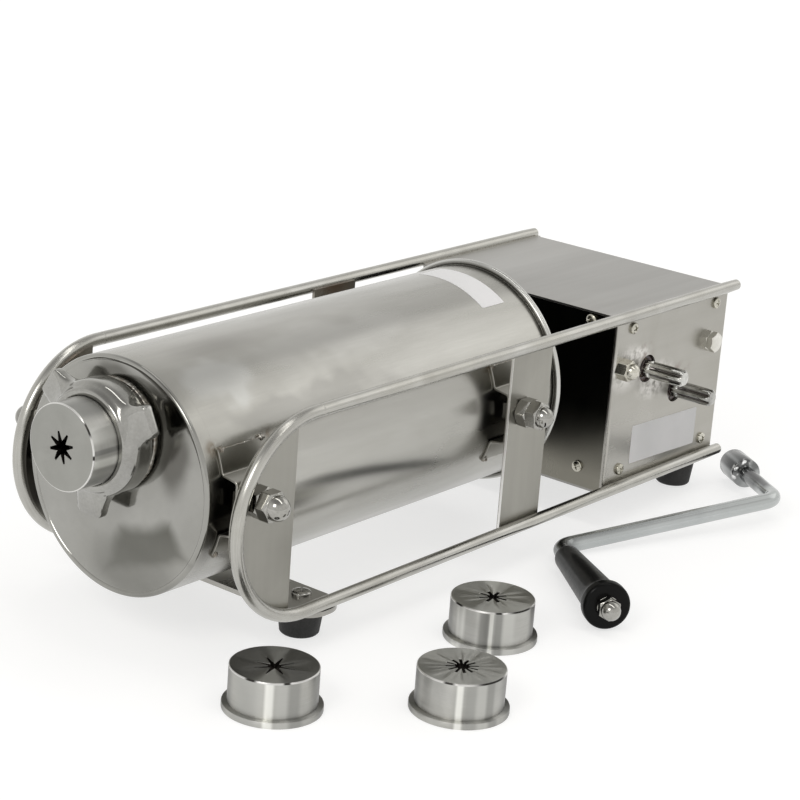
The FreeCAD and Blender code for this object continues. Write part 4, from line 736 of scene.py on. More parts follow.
# Near-black painted shade for the insides of the nozzles' bores and holes.
bore_steel = steel("painted_shade_bore_steel", (0.020, 0.018, 0.016), (0.045, 0.039, 0.035), (0.5, 0.7),
                   (1.0, 1.0, 1.0), lines=900.0)
gear_steel = steel("greased_gear_steel", (0.30, 0.295, 0.28), (0.40, 0.39, 0.375), (0.26, 0.42),
                   (1.0, 1.0, 1.0), lines=900.0)
shaft_steel = steel("turned_shaft_steel", (0.46, 0.455, 0.435), (0.68, 0.675, 0.655), (0.08, 0.18),
                    (1.0, 0.1, 1.0), lines=1300.0, cloud=120.0, relief=0.10)


def splined_steel(name, x, z, dark, light):
    """Shaft steel, dark reddish brown in the grooves, which lie nearer to the shaft's axis than the ridges.
    """
    def grooves(tree, place, colour, grip):
        aside, along, up = millimetres(tree, place, (x, 0.0, z))
        deep = between(tree, from_axis(tree, aside, up), 5.25, 4.6)
        deep = times(tree, deep, between(tree, along, -113.8, -112.9))
        return mixed(tree, times(tree, deep, 0.85), colour, (0.075, 0.062, 0.060)), grip
    return steel(name, (dark, dark, dark * 0.96), (light, light, light * 0.97), (0.07, 0.16), (1.0, 0.1, 1.0),
                 lines=1300.0, cloud=150.0, relief=0.10, extra=grooves)


zinc_steel = steel("zinc_plated_steel", (0.40, 0.42, 0.425), (0.50, 0.52, 0.525), (0.16, 0.26),
                   (1.0, 0.05, 1.0), lines=900.0, cloud=12.0, relief=0.03, grain=0.08, on_surface=True,
                   extra=zinc_shade)
hub_steel = steel("plated_hub_steel", (0.30, 0.31, 0.315), (0.38, 0.39, 0.395), (0.14, 0.24), (1.0, 1.0, 1.0),
                  lines=900.0, cloud=60.0, relief=0.08, grain=0.15, extra=hub_shade)
dark_steel = steel("dark_plate_steel", (0.009, 0.009, 0.007), (0.018, 0.018, 0.015), (0.26, 0.40),
                   (1.0, 1.0, 0.05), lines=1300.0, relief=0.08, extra=plate_painted_reflection)


OUTLET_HEIGHT = 129.3
MOUNTED_AT, SLIT_STAR_AT = (-22.8, 0.0, OUTLET_HEIGHT), (-1.0, -123.7, 0.0)
TWELVE_SLOT_AT, EIGHT_SLOT_AT = (76.0, -195.2, 0.0), (170.5, -145.7, 0.0)


def standing_nozzle_steel(name, centre, top, bands, fans=(), bevel_dark_gaps=()):
    """Turned steel with painted reflections for a loose nozzle at its own place on the table."""
    return steel(name, (0.38, 0.378, 0.36), (0.50, 0.498, 0.48), (0.30, 0.44), (0.02, 1.0, 1.0), lines=2600.0,
                 cloud=30.0, relief=0.12, on_surface=True, swirl=0.9,
                 extra=nozzle_painted_reflections(centre, top, bands, fans, bevel_dark_gaps))


# The mounted nozzle's turned steel, with painted reflections measured round from its top.
mounted_steel = steel("mounted_nozzle_steel", (0.33, 0.327, 0.308), (0.46, 0.457, 0.44), (0.26, 0.40),
                      (0.02, 1.0, 1.0), lines=2600.0, cloud=30.0, relief=0.10, on_surface=True, swirl=0.85,
                      extra=nozzle_painted_reflections(MOUNTED_AT, 0.31,
                                         ((20, 26, 0.30), (62, 14, 0.62), (84, 5, 0.20), (99, 9, 0.85),
                                          (130, 16, 0.32), (152, 14, 0.55)), (), ((40, 62), (86, 92)),
                                         standing=False))


bush_bronze = steel("greased_bush_bronze", (0.10, 0.07, 0.035), (0.22, 0.16, 0.08), (0.25, 0.40),
                    (1.0, 1.0, 1.0))
print(len(bpy.data.materials), "materials so far")

# %% [markdown]
# Rubber and the moulded grip aren't metal. The grip is a glossy moulding with a slight orange peel, the feet
# are dull rubber with fine pores, and the grease round the shafts is a dark wet red.

# %% Rubber, plastic and grease
def moulded(name, dark, light, rough, grain, relief, coat=0.0, soft=0.5, extra=None):
    """A plain moulding: two near shades in soft clouds, pores as relief, and a coat where it is glossy."""
    material = bpy.data.materials.new(name)
    material.use_nodes = True
    tree = material.node_tree
    shader = tree.nodes["Principled BSDF"]
    place = add(tree, "TexCoord").outputs["Object"]
    pores = noise(tree, place, grain, 3.0, 0.6)
    cloud = noise(tree, place, grain * 0.05, 3.0, 0.5)
    colour = mixed(tree, between(tree, cloud, 0.35, 0.65), dark, light)
    if extra:
        colour = extra(tree, place, colour)
    tree.links.new(colour, shader.inputs["Base Color"])
    tree.links.new(between(tree, pores, 0.3, 0.7, rough[0], rough[1]), shader.inputs["Roughness"])
    bump = add(tree, "Bump", {"Height": pores, "Strength": relief, "Distance": 0.0001})
    tree.links.new(bump.outputs[0], shader.inputs["Normal"])
    shader.inputs["Coat Weight"].default_value = coat
    shader.inputs["Coat Roughness"].default_value = 0.04
    shader.inputs["Specular IOR Level"].default_value = soft
    return material


def grip_sheen_and_scratches(tree, place, colour):
    """A painted lighter sheen on one side of the grip, broken up into fine long scratch lines."""
    angle, along = about(tree, place, GRIP_AT, LEG)
    long_lines = add(tree, "CombineXYZ", {0: times(tree, angle, 0.9), 1: times(tree, along, 0.03)})
    scratch = between(tree, noise(tree, long_lines.outputs[0], 0.35, 4.0, 0.7), 0.35, 0.7, 0.35, 1.0)
    tone_share = times(tree, near_angle(tree, angle, 66, 62), scratch)
    tone_share = times(tree, tone_share, between(tree, along, -6.0, -14.0))
    return mixed(tree, tone_share, colour, (0.062, 0.064, 0.064))


foot_rubber = moulded("black_rubber", (0.010, 0.010, 0.010), (0.022, 0.021, 0.020), (0.55, 0.75), 900.0, 0.4)
seal_rubber = moulded("pale_rubber", (0.60, 0.58, 0.53), (0.72, 0.70, 0.65), (0.45, 0.6), 700.0, 0.2)
grip_black = moulded("black_grip_moulding", (0.002, 0.002, 0.002), (0.004, 0.004, 0.004), (0.34, 0.42),
                     260.0, 0.03, coat=0.16, soft=0.05, extra=grip_sheen_and_scratches)
shaft_grease = moulded("dark_red_grease", (0.012, 0.004, 0.004), (0.060, 0.012, 0.012), (0.15, 0.3),
                       500.0, 0.5, coat=0.4)
label_film = moulded("blank_label_film", (0.66, 0.66, 0.66), (0.74, 0.73, 0.735), (0.35, 0.5), 300.0, 0.1)
print(len(bpy.data.materials), "finishes")

# %% [markdown]
# ## Flat and machined pieces that stay as they are
# Plates, panels, gears and the rack are flat cut or machined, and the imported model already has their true
# shape, so these keep their solids and get a finish.

# %% Finish the carried-over solids
def finish_node(material, *names):
    """Puts one material on every slot of the named solids."""
    for name in names:
        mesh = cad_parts[name].data
        if not mesh.materials:
            mesh.materials.append(material)
        for k in range(len(mesh.materials)):
            mesh.materials[k] = material


finish_node(sheet_steel, "gearbox_panel_far", "front_cross_plate", "rear_cross_plate")
finish_node(shaded_cover_steel, "gearbox_cover")
finish_node(panel_steel, "gearbox_panel_near")
finish_node(strap_steel, "front_strap_near", "rear_strap_near")
finish_node(far_strap_steel, "front_strap_far", "rear_strap_far")
finish_node(dark_steel, "gearbox_front_plate")
finish_node(gear_steel, "drive_wheel", "slow_pinion", "rack_pinion", "rack_bar", "gear_plate", "roller_clips",
            "guide_roller_front", "guide_roller_rear")
finish_node(shaft_steel, "fast_collar", "slow_collar", "fast_roll_pins", "slow_roll_pin", "piston_disc",
            "piston_nut")
finish_node(bush_bronze, "shaft_bushes")
finish_node(seal_rubber, "piston_seal")
finish_node(nut_steel, "strap_bolts")
print("finished solids")

# %% [markdown]
# ## Barrel
# A thin stainless tube, rolled and welded, whose open rear edge is curled over a wire so that it isn't
# sharp. It could be a cylinder with a thickness, but the curl is what shows, so the whole section, wall and
# curl together, is drawn once and carried round the axis.

# %% Barrel tube
BARREL_AXIS = (0.0, 0.0, AXIS_HEIGHT)
TUBE_RADIUS, BORE_RADIUS = 71.5, 70.0
curl = arc((72.94, 325.6), 2.4, -126.9, 178.0, 22)
wall = np.vstack([[(BORE_RADIUS, 6.2), (70.2, BARREL_START), (71.4, BARREL_START), (TUBE_RADIUS, 6.03)],
                  np.stack([np.full(40, TUBE_RADIUS), np.linspace(8.0, 322.8, 40)], -1), curl,
                  [(70.3, 324.4), (BORE_RADIUS, 323.0)],
                  np.stack([np.full(12, BORE_RADIUS), np.linspace(318.0, 10.0, 12)], -1)])
barrel = make("barrel", [turned(wall[:, 0], wall[:, 1], BARREL_AXIS, (1, 0, 0), 216)], barrel_steel,
              "frame")
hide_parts("barrel_tube")

# %% [markdown]
# ## Front cap and outlet
# The cap is a pressed disc, slightly crowned, with a narrow bead at its rim that catches the light. The
# outlet is a short threaded pipe welded into it above the middle. The rows of the cap's grid therefore run
# from the outlet's circle out to the rim: every point is a mix of a point on each circle, and its depth
# comes from the crown.

# %% Cap, outlet and their weld
FACE_RADIUS, OUTLET_BORE, OUTLET_RADIUS = 65.0, 26.5, 30.0
OUTLET_RISE = OUTLET_HEIGHT - AXIS_HEIGHT
around = np.linspace(0, 2 * np.pi, 240, endpoint=False)


def crown_depth(radius):
    """The cap's skin: 9 mm ahead of zero at the axis and half that at 65 mm, as a shallow parabola."""
    return -9.0 + 4.5 * (radius / FACE_RADIUS) ** 2


def cap_face(share, inset):
    """One row of the cap's face, a share of the way from the outlet's bore (0) to the rim (1)."""
    across = (1 - share) * OUTLET_BORE * np.cos(around) + share * FACE_RADIUS * np.cos(around)
    up = (1 - share) * (OUTLET_RISE + OUTLET_BORE * np.sin(around)) + share * FACE_RADIUS * np.sin(around)
    depth = crown_depth(np.hypot(across, up)) + inset
    return np.stack([depth, across, up + AXIS_HEIGHT], -1)


def cap_ring(radius, depth):
    """One round row of the cap about the barrel's axis."""
    return np.stack([np.full_like(around, depth), radius * np.cos(around),
                     radius * np.sin(around) + AXIS_HEIGHT], -1)


edge = np.radians(np.linspace(-86, 0, 12))
bead = np.radians(np.linspace(-128, 0, 16))
shares = np.linspace(0, 1, 26)
cap_rows = [cap_face(s, 0.0) for s in shares]
cap_rows += [cap_ring(radius, crown_depth(min(radius, 67.6))) for radius in (66.4, 67.6, 67.8)]
cap_rows += [cap_ring(69.4 + 2.1 * np.cos(a), -2.8 + 2.1 * np.sin(a)) for a in bead]
cap_rows += [cap_ring(TUBE_RADIUS, 5.97), cap_ring(71.4, BARREL_START), cap_ring(70.2, BARREL_START),
             cap_ring(BORE_RADIUS, 5.8)]
cap_rows += [cap_ring(65 + 5.0 * np.cos(a), 2 + 5.0 * np.sin(a)) for a in edge[::-1]]
cap_rows += [cap_face(s, 1.5) for s in shares[::-1]]
front_faces = (len(shares) + 2 + len(bead)) * len(around)
cap = make("cap", [grid(np.array(cap_rows), close_rows=True, close_columns=True)], cap_steel,
           "frame", second=barrel_steel, from_face=front_faces)
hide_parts("front_cap")


def outlet_row(radius, depth):
    """One row of the outlet pipe. depth is a number, or an array that follows the cap's skin."""
    return np.stack([np.broadcast_to(depth, around.shape), radius * np.cos(around),
                     radius * np.sin(around) + OUTLET_HEIGHT], -1)


def on_cap(radius, inset):
    """Depth of the cap's skin under a circle about the outlet."""
    return crown_depth(np.hypot(radius * np.cos(around), radius * np.sin(around) + OUTLET_RISE)) + inset


thread_x = np.linspace(-21.6, -10.2, 58)
ridge = 0.5 - 0.5 * np.cos(2 * np.pi * (thread_x[:, None] / 2.0) + around[None])
thread = [outlet_row(OUTLET_RADIUS - 1.1 * (1 - r), x) for x, r in zip(thread_x, ridge)]
pipe_rows = [outlet_row(OUTLET_BORE, on_cap(OUTLET_BORE, 0.8)), outlet_row(OUTLET_BORE, -22.4),
             outlet_row(26.9, -22.8), outlet_row(28.4, -22.8), outlet_row(28.9, -22.3)] + thread
pipe_rows += [outlet_row(OUTLET_RADIUS, -9.6), outlet_row(OUTLET_RADIUS, on_cap(OUTLET_RADIUS, 0.8))]
outlet = make("outlet_pipe", [grid(np.array(pipe_rows), close_rows=True, close_columns=True)], turned_steel,
              "frame")
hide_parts("outlet_spout")

weld_path = outlet_row(30.9, on_cap(30.9, -0.2))
ripple = 1.55 + 0.16 * np.sin(around * 62) + 0.25 * np.sin(around * 5 + 1) + 0.15 * np.sin(around * 11)
make("outlet_weld", [swept(weld_path, ripple, (1, 0, 0), 14, closed=True)], weld_steel,
     "frame")

# %% [markdown]
# ## Nozzles
# Each nozzle is a cup turned from bar, with a flange for the ring nut and a hole in its face that gives the
# churro its ridges. The rows of the grid start at the hole's outline and end at it again inside, so the cup,
# its flange and its bore are one closed skin. Along every direction the outline's distance is found where
# that ray meets the outline's straight edges.

# %% Star holes
def star_outline(rays, reach, hub, tip, root, turn):
    """Corners of a star: each ray narrows from its root width at the hub to its tip width at its reach."""
    middle = 2 * np.pi * np.arange(rays) / rays + np.radians(turn)
    far = np.array([hub, reach, reach, hub])
    side = np.array([-root, -tip, tip, root]) / 2
    x = np.cos(middle)[:, None] * far - np.sin(middle)[:, None] * side
    y = np.sin(middle)[:, None] * far + np.cos(middle)[:, None] * side
    return np.stack([x, y], -1).reshape(-1, 2)


def distance_to(outline, angles):
    """How far the outline is along each angle: a ray meets the edge a to b at cross(a, b-a) over
    cross(ray, b-a)."""
    start, run = outline, np.roll(outline, -1, 0) - outline
    ray = np.stack([np.cos(angles), np.sin(angles)], -1)
    turn = ray[:, None, 0] * run[None, :, 1] - ray[:, None, 1] * run[None, :, 0]
    turn = np.where(np.abs(turn) < 1e-9, 1e-9, turn)
    length = (start[:, 0] * run[:, 1] - start[:, 1] * run[:, 0])[None] / turn
    along = (start[None, :, 0] * ray[:, None, 1] - start[None, :, 1] * ray[:, None, 0]) / turn
    hit = (length > 0) & (along > -1e-6) & (along < 1 + 1e-6)
    return np.where(hit, length, 0).max(1)


def star_angles(outline, fill):
    """Evenly spread directions, plus one through each corner of the outline."""
    corners = np.arctan2(outline[:, 1], outline[:, 0]) % (2 * np.pi)
    angles = np.sort(np.concatenate([np.linspace(0, 2 * np.pi, fill, endpoint=False), corners]))
    return angles[np.append(True, np.diff(angles) > 1e-3)]


six_rays = star_outline(6, 10.0, 4.0, 1.0, 2.0, 0)
print("a star of six rays has", len(six_rays), "corners; its first ray reaches", distance_to(six_rays, [0.0]))

# %% Nozzle cups
CUP_HEIGHT, CUP_RADIUS, FACE_EDGE, CUP_BORE, FACE_INSIDE = 26.0, 25.5, 24.7, 22.5, 22.5


def nozzle(name, star, foot, directions, body, replaced, finish, dish=0.0):
    """A cup 26 mm high on a flange. directions are its own first, second and upward axes. The bore and the
    hole's walls, the last rows, take a rough near-black finish that paints the shade inside them."""
    outline = star_outline(*star)
    angles = star_angles(outline, 168)
    hole = distance_to(outline, angles)

    def row(radius, height):
        across = np.broadcast_to(radius, angles.shape)
        local = np.stack([across * np.cos(angles), across * np.sin(angles),
                          np.broadcast_to(height, angles.shape)], -1)
        return np.array(foot, float) + local @ np.array(directions, float)

    def face_row(share):
        radius = (1 - share) * (hole + 0.22) + share * FACE_EDGE
        return row(radius, CUP_HEIGHT - dish * (1 - (radius / FACE_EDGE) ** 2))

    outwards = (0.0, 0.04, 0.12, 0.25, 0.4, 0.6, 0.8, 0.93, 1.0)
    rows = [row(hole, 25.75 - dish)] + [face_row(share) for share in outwards]
    rows += [row(r, h) for r, h in ((25.1, 25.92), (25.4, 25.6), (CUP_RADIUS, 25.1), (CUP_RADIUS, 20),
                                    (CUP_RADIUS, 12), (CUP_RADIUS, 4.9), (25.1, 4.6), (25.1, 4.1),
                                    (25.3, 4.0), (27.9, 4.0), (28.45, 3.75), (28.65, 3.2), (28.65, 0.6),
                                    (28.5, 0.15), (28.1, 0.0), (23.2, 0.0), (CUP_BORE, 0.7))]
    outside = (len(rows) - 1) * len(angles)
    rows += [row(CUP_BORE, 12.0), row(CUP_BORE, FACE_INSIDE - dish)]
    rows += [row((1 - s) * hole + s * CUP_BORE, FACE_INSIDE - dish) for s in (0.9, 0.6, 0.3, 0.1, 0.0)]
    piece = make(name, [grid(np.array(rows), close_rows=True, close_columns=True)], finish,
                 body, sharp=30, second=bore_steel, from_face=outside)
    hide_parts(replaced)
    return piece


FORWARDS = ((0, 0, 1), (0, 1, 0), (-1, 0, 0))
UPWARDS = ((1, 0, 0), (0, 1, 0), (0, 0, 1))
nozzle("nozzle_in_use", (8, 9.3, 4.0, 1.3, 3.05, 16), MOUNTED_AT, FORWARDS, "nozzle_in_use",
       "nozzle_mounted", finish=mounted_steel)
slit_star_steel = standing_nozzle_steel("slit_star_turned_steel", SLIT_STAR_AT, 0.055,
                                        ((-88, 34, 0.16), (-30, 28, 0.44), (-2, 8, 0.90), (14, 12, 0.50),
                                         (30, 12, 0.30), (90, 38, 0.15)),
                                        ((-4, 26, 0.34), (178, 22, 0.26)), ((-35, -20), (15, 24)))
twelve_slot_steel = standing_nozzle_steel("twelve_slot_turned_steel", TWELVE_SLOT_AT, 0.36,
                                          ((-88, 32, 0.14), (-2, 6, 0.95), (12, 10, 0.36), (27, 10, 0.52),
                                           (40, 9, 0.30), (90, 38, 0.13)),
                                          ((-80, 36, 0.28), (175, 24, 0.42)), ((-24, -10), (18, 70)))
eight_slot_steel = standing_nozzle_steel("eight_slot_turned_steel", EIGHT_SLOT_AT, 0.42,
                                         ((-88, 30, 0.14), (-48, 11, 0.75), (-12, 10, 0.20), (-2, 4, 0.85),
                                          (8, 8, 0.26), (22, 12, 0.54), (90, 36, 0.15)),
                                         ((180, 16, 0.62), (-10, 34, 0.46)), ((-62, -46), (2, 12), (22, 64)))
nozzle("slit_star_cup", (8, 12.0, 3.4, 0.7, 2.4, 19), SLIT_STAR_AT, UPWARDS, "loose_slit_star",
       "nozzle_slit_star", dish=0.9, finish=slit_star_steel)
nozzle("twelve_slot_cup", (12, 9.4, 3.9, 1.7, 1.7, 15), TWELVE_SLOT_AT, UPWARDS, "loose_twelve_slot",
       "nozzle_twelve_slot", finish=twelve_slot_steel)
nozzle("eight_slot_cup", (8, 8.6, 3.1, 2.2, 2.2, 12), EIGHT_SLOT_AT, UPWARDS, "loose_eight_slot",
       "nozzle_eight_slot", finish=eight_slot_steel)

# %% [markdown]
# ## Ring nut
# A casting with three hollow-sided wings for the hand. A lathe can't make it, but a loft can: two sections,
# one through the plain body and one through a wing, have the same number of points, and every direction
# round the nut takes a mix of the two. How much wing it takes is one curve: flat across the tip, then
# falling away in a hollow.

# %% Ring nut
WING_MIDDLES, TIP_HALF, WING_HALF = np.array([27.0, 147.0, -93.0]), 10.8, 36.0
plain = np.array([(30.3, 0.3), (30.6, 0), (32.8, 0), (33.6, 0.3), (34, 1.1), (34, 3), (34, 4.4), (34, 5.8),
                  (34, 6.6), (34, 7.4), (34, 8.6), (34, 9.8), (33.95, 10.8), (33.8, 11.8), (33.6, 12.8),
                  (33.2, 13.7), (32.6, 14.6), (31.7, 15.6), (30.9, 16.4), (30.4, 17.2), (29.9, 18.1),
                  (29.1, 18.8), (28.0, 19), (26.6, 19), (26.0, 18.8), (25.8, 18.3), (25.8, 16.2),
                  (26.1, 15.8), (29.9, 15.8), (30.3, 15.4), (30.3, 8.0)])
wing = plain.copy()
wing[4:19] = [(34, 1.4), (35.0, 3.6), (37.5, 4.9), (42, 5.8), (45.2, 6.3), (46.3, 6.8), (46.6, 7.8),
              (46.6, 11.6), (46.3, 12.7), (45.2, 13.2), (42, 13.9), (37.5, 14.75), (35, 15.3), (33, 16.0),
              (31.6, 16.7)]
degrees = np.linspace(0, 360, 720, endpoint=False)
off = np.abs((degrees[:, None] - WING_MIDDLES + 180) % 360 - 180).min(1)
hollow = np.clip((WING_HALF - off) / (WING_HALF - TIP_HALF), 0, 1) ** 4.3
share = np.where(off < TIP_HALF, 1.0, hollow)
kernel = np.exp(-0.5 * (np.arange(-8, 9) / 3.0) ** 2)
share = np.convolve(np.concatenate([share[-8:], share, share[:8]]), kernel / kernel.sum(), "valid")
flat_tip = np.where(off < 14, 1 / np.cos(np.radians(np.minimum(off, TIP_HALF))), 1.0)
section = plain[:, None] + share[None, :, None] * (wing - plain)[:, None]
radius = section[..., 0] * (1 + (flat_tip - 1)[None] * share[None] * (section[..., 0] > 42))
angle = np.radians(degrees)[None]
nut_points = np.stack([-11 - section[..., 1], -radius * np.cos(angle),
                       radius * np.sin(angle) + OUTLET_HEIGHT], -1)
ring_nut = make("winged_nut", [grid(nut_points, close_rows=True, close_columns=True)], cast_steel,
                "ring_nut_body", sharp=50)
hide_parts("ring_nut")

# %% [markdown]
# ## Side rails
# Each rail is one bright rod bent into a long U on its side, closed by the gearbox. A curve with a round
# bevel would do, but a circle swept along a flat path keeps the wall of points square to the rod and gives
# exact lengths for the finish. A butt joint shows as a fine groove near the top bend.

# %% Rails
RAIL_TOP, RAIL_LOW, RAIL_SIDE, RAIL_REAR, ROD_RADIUS = 150.0, 28.0, 88.0, 515.0, 4.0
JOINT = [67.6, 67.2, 66.9, 66.6, 66.2]
GROOVE_ROW = 34 + JOINT.index(66.9)


def rail_path():
    """From the rear along the top, round the half circle at the front, and back along the bottom. The rows
    of the butt joint lie close together on top, just behind the bend."""
    back = np.append(np.linspace(RAIL_REAR, 70, 34), JOINT)
    top = np.stack([back, np.full(len(back), RAIL_TOP)], -1)
    bend = arc((63.0, (RAIL_TOP + RAIL_LOW) / 2), (RAIL_TOP - RAIL_LOW) / 2, 90, 270, 61)
    low = np.stack([np.linspace(75, RAIL_REAR, 30), np.full(30, RAIL_LOW)], -1)
    return np.vstack([top, bend, low])


flat = rail_path()
thick = np.full(len(flat), ROD_RADIUS)
thick[GROOVE_ROW] = 3.82
thick[0] = thick[-1] = 3.7
for side, name in ((-RAIL_SIDE, "near"), (RAIL_SIDE, "far")):
    path = np.stack([flat[:, 0], np.full(len(flat), side), flat[:, 1]], -1)
    rod = swept(path, thick, (0, 1, 0), 28)
    ends = [fan(rod[0].reshape(len(flat), 28, 3)[k]) for k in (0, -1)]
    rail = make("rail_" + name, [rod] + ends, rail_steel, "frame", sharp=50)
    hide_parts("side_rail_" + name)

# %% [markdown]
# ## Brackets on the barrel
# Hat-shaped strips of sheet are welded to the barrel and bolted to the straps. Their section is a bent line
# with a thickness: an offset to each side of the line, with every bend rounded, then pulled along the
# barrel. Short rough weld beads hold the flanges.

# %% Bent sheet and brackets
SHEET = 1.5
BRACKET_STARTS, BRACKET_LENGTH = {"front": 7.0, "rear": 259.0}, 40.0


def sheet_section(line, thickness):
    """A closed section from an open line: the line moved half the thickness each way."""
    ahead = np.gradient(line, axis=0)
    ahead /= np.linalg.norm(ahead, axis=1, keepdims=True)
    out = np.stack([-ahead[:, 1], ahead[:, 0]], -1) * thickness / 2
    return np.vstack([line + out, (line - out)[::-1]])


def pulled(section, low, high, lift, rounding=0.3):
    """A closed section pulled from low to high, with a small rounding at both ends, and capped.
    lift turns (first, second, along) into a machine point."""
    middle = section.mean(0)
    count = len(section) // 2
    outer, inner = section[:count], section[count:][::-1]
    centre = np.vstack([(outer + inner) / 2, ((outer + inner) / 2)[::-1]])
    slim = centre + (section - centre) * (1 - rounding / (SHEET / 2))
    levels = [(slim, low), (section, low + rounding), (section, high - rounding), (slim, high)]
    rows = np.array([lift(s, z) for s, z in levels])
    caps = [grid(np.array([lift(slim[:count], z), lift(slim[count:][::-1], z)])) for z in (low, high)]
    return [grid(rows, close_columns=True)] + caps


def hat_line():
    """Half of the hat: along the barrel's skin, up the leg and across the web, then mirrored."""
    skin = TUBE_RADIUS + SHEET / 2
    flange = arc((0, 0), skin, math.degrees(math.asin(31 / skin)), math.degrees(math.asin(19.2 / skin)), 8)
    leg = soften([(flange[-1, 0], flange[-1, 1], 0), (70.4, 17.6, 2.0), (81.25, 16.0, 2.4), (81.25, 0, 0)],
                 closed=False)
    half = np.vstack([flange[:-1], leg[:-1], [(81.25, 8.0)]])
    return np.vstack([half, (half * (1, -1))[::-1]])


hat = sheet_section(hat_line(), SHEET)
for end, low in BRACKET_STARTS.items():
    for side, way in (("near", -1.0), ("far", 1.0)):
        def lift(section, along, way=way):
            return np.stack([np.full(len(section), along), way * section[:, 0],
                             section[:, 1] + AXIS_HEIGHT], -1)
        strip = pulled(hat, low, low + BRACKET_LENGTH, lift)
        bracket = make("bracket_" + end + "_" + side, strip, strap_steel, "frame", sharp=40)
        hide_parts("barrel_bracket_" + end + "_" + side)

# %% Weld beads of the brackets
rng = np.random.default_rng(7)
beads = []
for low in BRACKET_STARTS.values():
    for way in (-1.0, 1.0):
        for up in (31.0, -31.0):
            along = np.linspace(low + 0.5, low + 39.5, 90)
            theta = np.arcsin(np.full(90, up) / 72.4) * (1 + 0.004 * np.sin(along * 0.9))
            blob = 0.6 + 1.5 * np.exp(-((along - low - 2.2) / 2.2) ** 2) + \
                1.3 * np.exp(-((along - low - 36.5) / 2.4) ** 2) + 0.12 * np.sin(along * 4.2)
            blob = blob * (1 + 0.22 * rng.standard_normal(90))
            blob[[0, -1]] = 0.3
            path = np.stack([along, way * 72.2 * np.cos(theta), AXIS_HEIGHT + 72.2 * np.sin(theta)], -1)
            bead = swept(path, blob, (0, 0.4 * way, 1), 12)
            ring = bead[0].reshape(90, 12, 3)
            beads += [bead, fan(ring[0]), fan(ring[-1])]
make("bracket_welds", beads, weld_steel, "frame", sharp=60)

# %% [markdown]
# The rails lie along the gearbox's top edges and are welded there. The bead is a thin swept rod in the
# groove between the two, whose radius wanders as a hand-laid bead does.

# %% Welds along the gearbox
rail_beads = []
for way in (-1.0, 1.0):
    along = np.linspace(380.0, 511.0, 180)
    bead_radius = 0.85 + 0.18 * np.sin(along * 1.9) + 0.12 * rng.standard_normal(180)
    path = np.stack([along, np.full(180, way * 84.5), np.full(180, 148.9)], -1)
    bead = swept(path, bead_radius, (0, 0, 1), 10)
    ring = bead[0].reshape(180, 10, 3)
    rail_beads += [bead, fan(ring[0]), fan(ring[-1])]
make("rail_welds", rail_beads, weld_steel, "frame", sharp=60)

# %% [markdown]
# ## Nuts, bolts and screws
# A nut is a hexagon cut by a shallow cone, which leaves the curved bright corners. In a grid that is simply
# the smaller of two radii in every direction: the hexagon's flat and the cone at that height. Screws have a
# low dome with a cross recess, whose outline is found the same way as the nozzles' holes.

# %% Nuts
# A cone at 30 degrees to a nut's face grows by this much radius for every millimetre of height.
CONE = 1.73


def hexagon_radius(flats, angles, turn=0.0):
    """Half the distance across flats, over the cosine of the angle from the middle of the nearest flat."""
    return flats / 2 / np.cos((angles + turn + np.pi / 6) % (np.pi / 3) - np.pi / 6)


def hex_rows(flats, height, angles, bottom=True, turn=0.0):
    """Radii and heights of a chamfered hexagon, the cone rising at 30 degrees from each face."""
    start = flats * 0.475
    ends = np.linspace(0, 1.4, 8)
    levels = np.unique(np.concatenate([ends, [height / 2], height - ends]))
    hexagon = hexagon_radius(flats, angles, turn)[None]
    upper = start + (height - levels)[:, None] * CONE
    lower = start + levels[:, None] * CONE if bottom else np.full_like(upper, 1e3)
    return np.minimum(np.minimum(hexagon, upper), lower), levels


def plain_nut(foot, axis, flats, height, hole, turn=0.0):
    """A nut chamfered on both faces, with its bore."""
    angles = np.linspace(0, 2 * np.pi, 96, endpoint=False)
    radii, levels = hex_rows(flats, height, angles, turn=turn)
    bore = np.full((3, 96), hole)
    bore[0], bore[2] = hole + 0.6, hole + 0.6
    radii = np.vstack([radii, bore])
    return turned(radii, np.append(levels, (height, height / 2, 0)), foot, axis, 96)


def acorn_nut(foot, axis, flats, height, dome, lift=0.6, turn=0.0):
    """A closed nut: hexagon, small step, then a dome whose centre is a little above the hexagon."""
    angles = np.linspace(0, 2 * np.pi, 96, endpoint=False)
    radii, levels = hex_rows(flats, height, angles, bottom=False, turn=turn)
    rise = np.radians(np.linspace(0, 90, 16))
    steps = np.concatenate([[dome + 0.25, dome], dome * np.cos(rise[1:-1]), [0.0], [0.0]])
    heights = np.concatenate([[height, height + 0.25], height + lift + dome * np.sin(rise[1:-1]),
                              [height + lift + dome], [0.0]])
    radii = np.vstack([radii, np.repeat(steps[:, None], 96, 1)])
    return turned(radii, np.append(levels, heights), foot, axis, 96)


NEAR, FAR = (0, -1, 0), (0, 1, 0)
PANEL_FACE, STRAP_BOLT_HEIGHT = 84.0, 106.0
M10_FLATS, M10_HEIGHT = 17.0, 8.4
SIDES = ((NEAR, -PANEL_FACE), (FAR, PANEL_FACE))
plain_nuts, domed_nuts = [], []
for x, twist, dome_radius in ((20.0, 0.2, 7.6), (272.0, 0.55, 6.9)):
    for axis, side in SIDES:
        foot, top = (x, side, STRAP_BOLT_HEIGHT), (x, side + axis[1] * M10_HEIGHT, STRAP_BOLT_HEIGHT)
        plain_nuts.append(plain_nut(foot, axis, M10_FLATS, M10_HEIGHT, 5.1, twist))
        domed_nuts.append(acorn_nut(top, axis, M10_FLATS, 7.6, dome_radius, turn=twist + 0.35))
nuts = make("strap_plain_nuts", plain_nuts, nut_steel, "frame", sharp=28)
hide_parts("strap_nuts")
domes = make("strap_domed_nuts", domed_nuts, nut_steel, "frame", sharp=28)
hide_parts("strap_acorn_nuts")


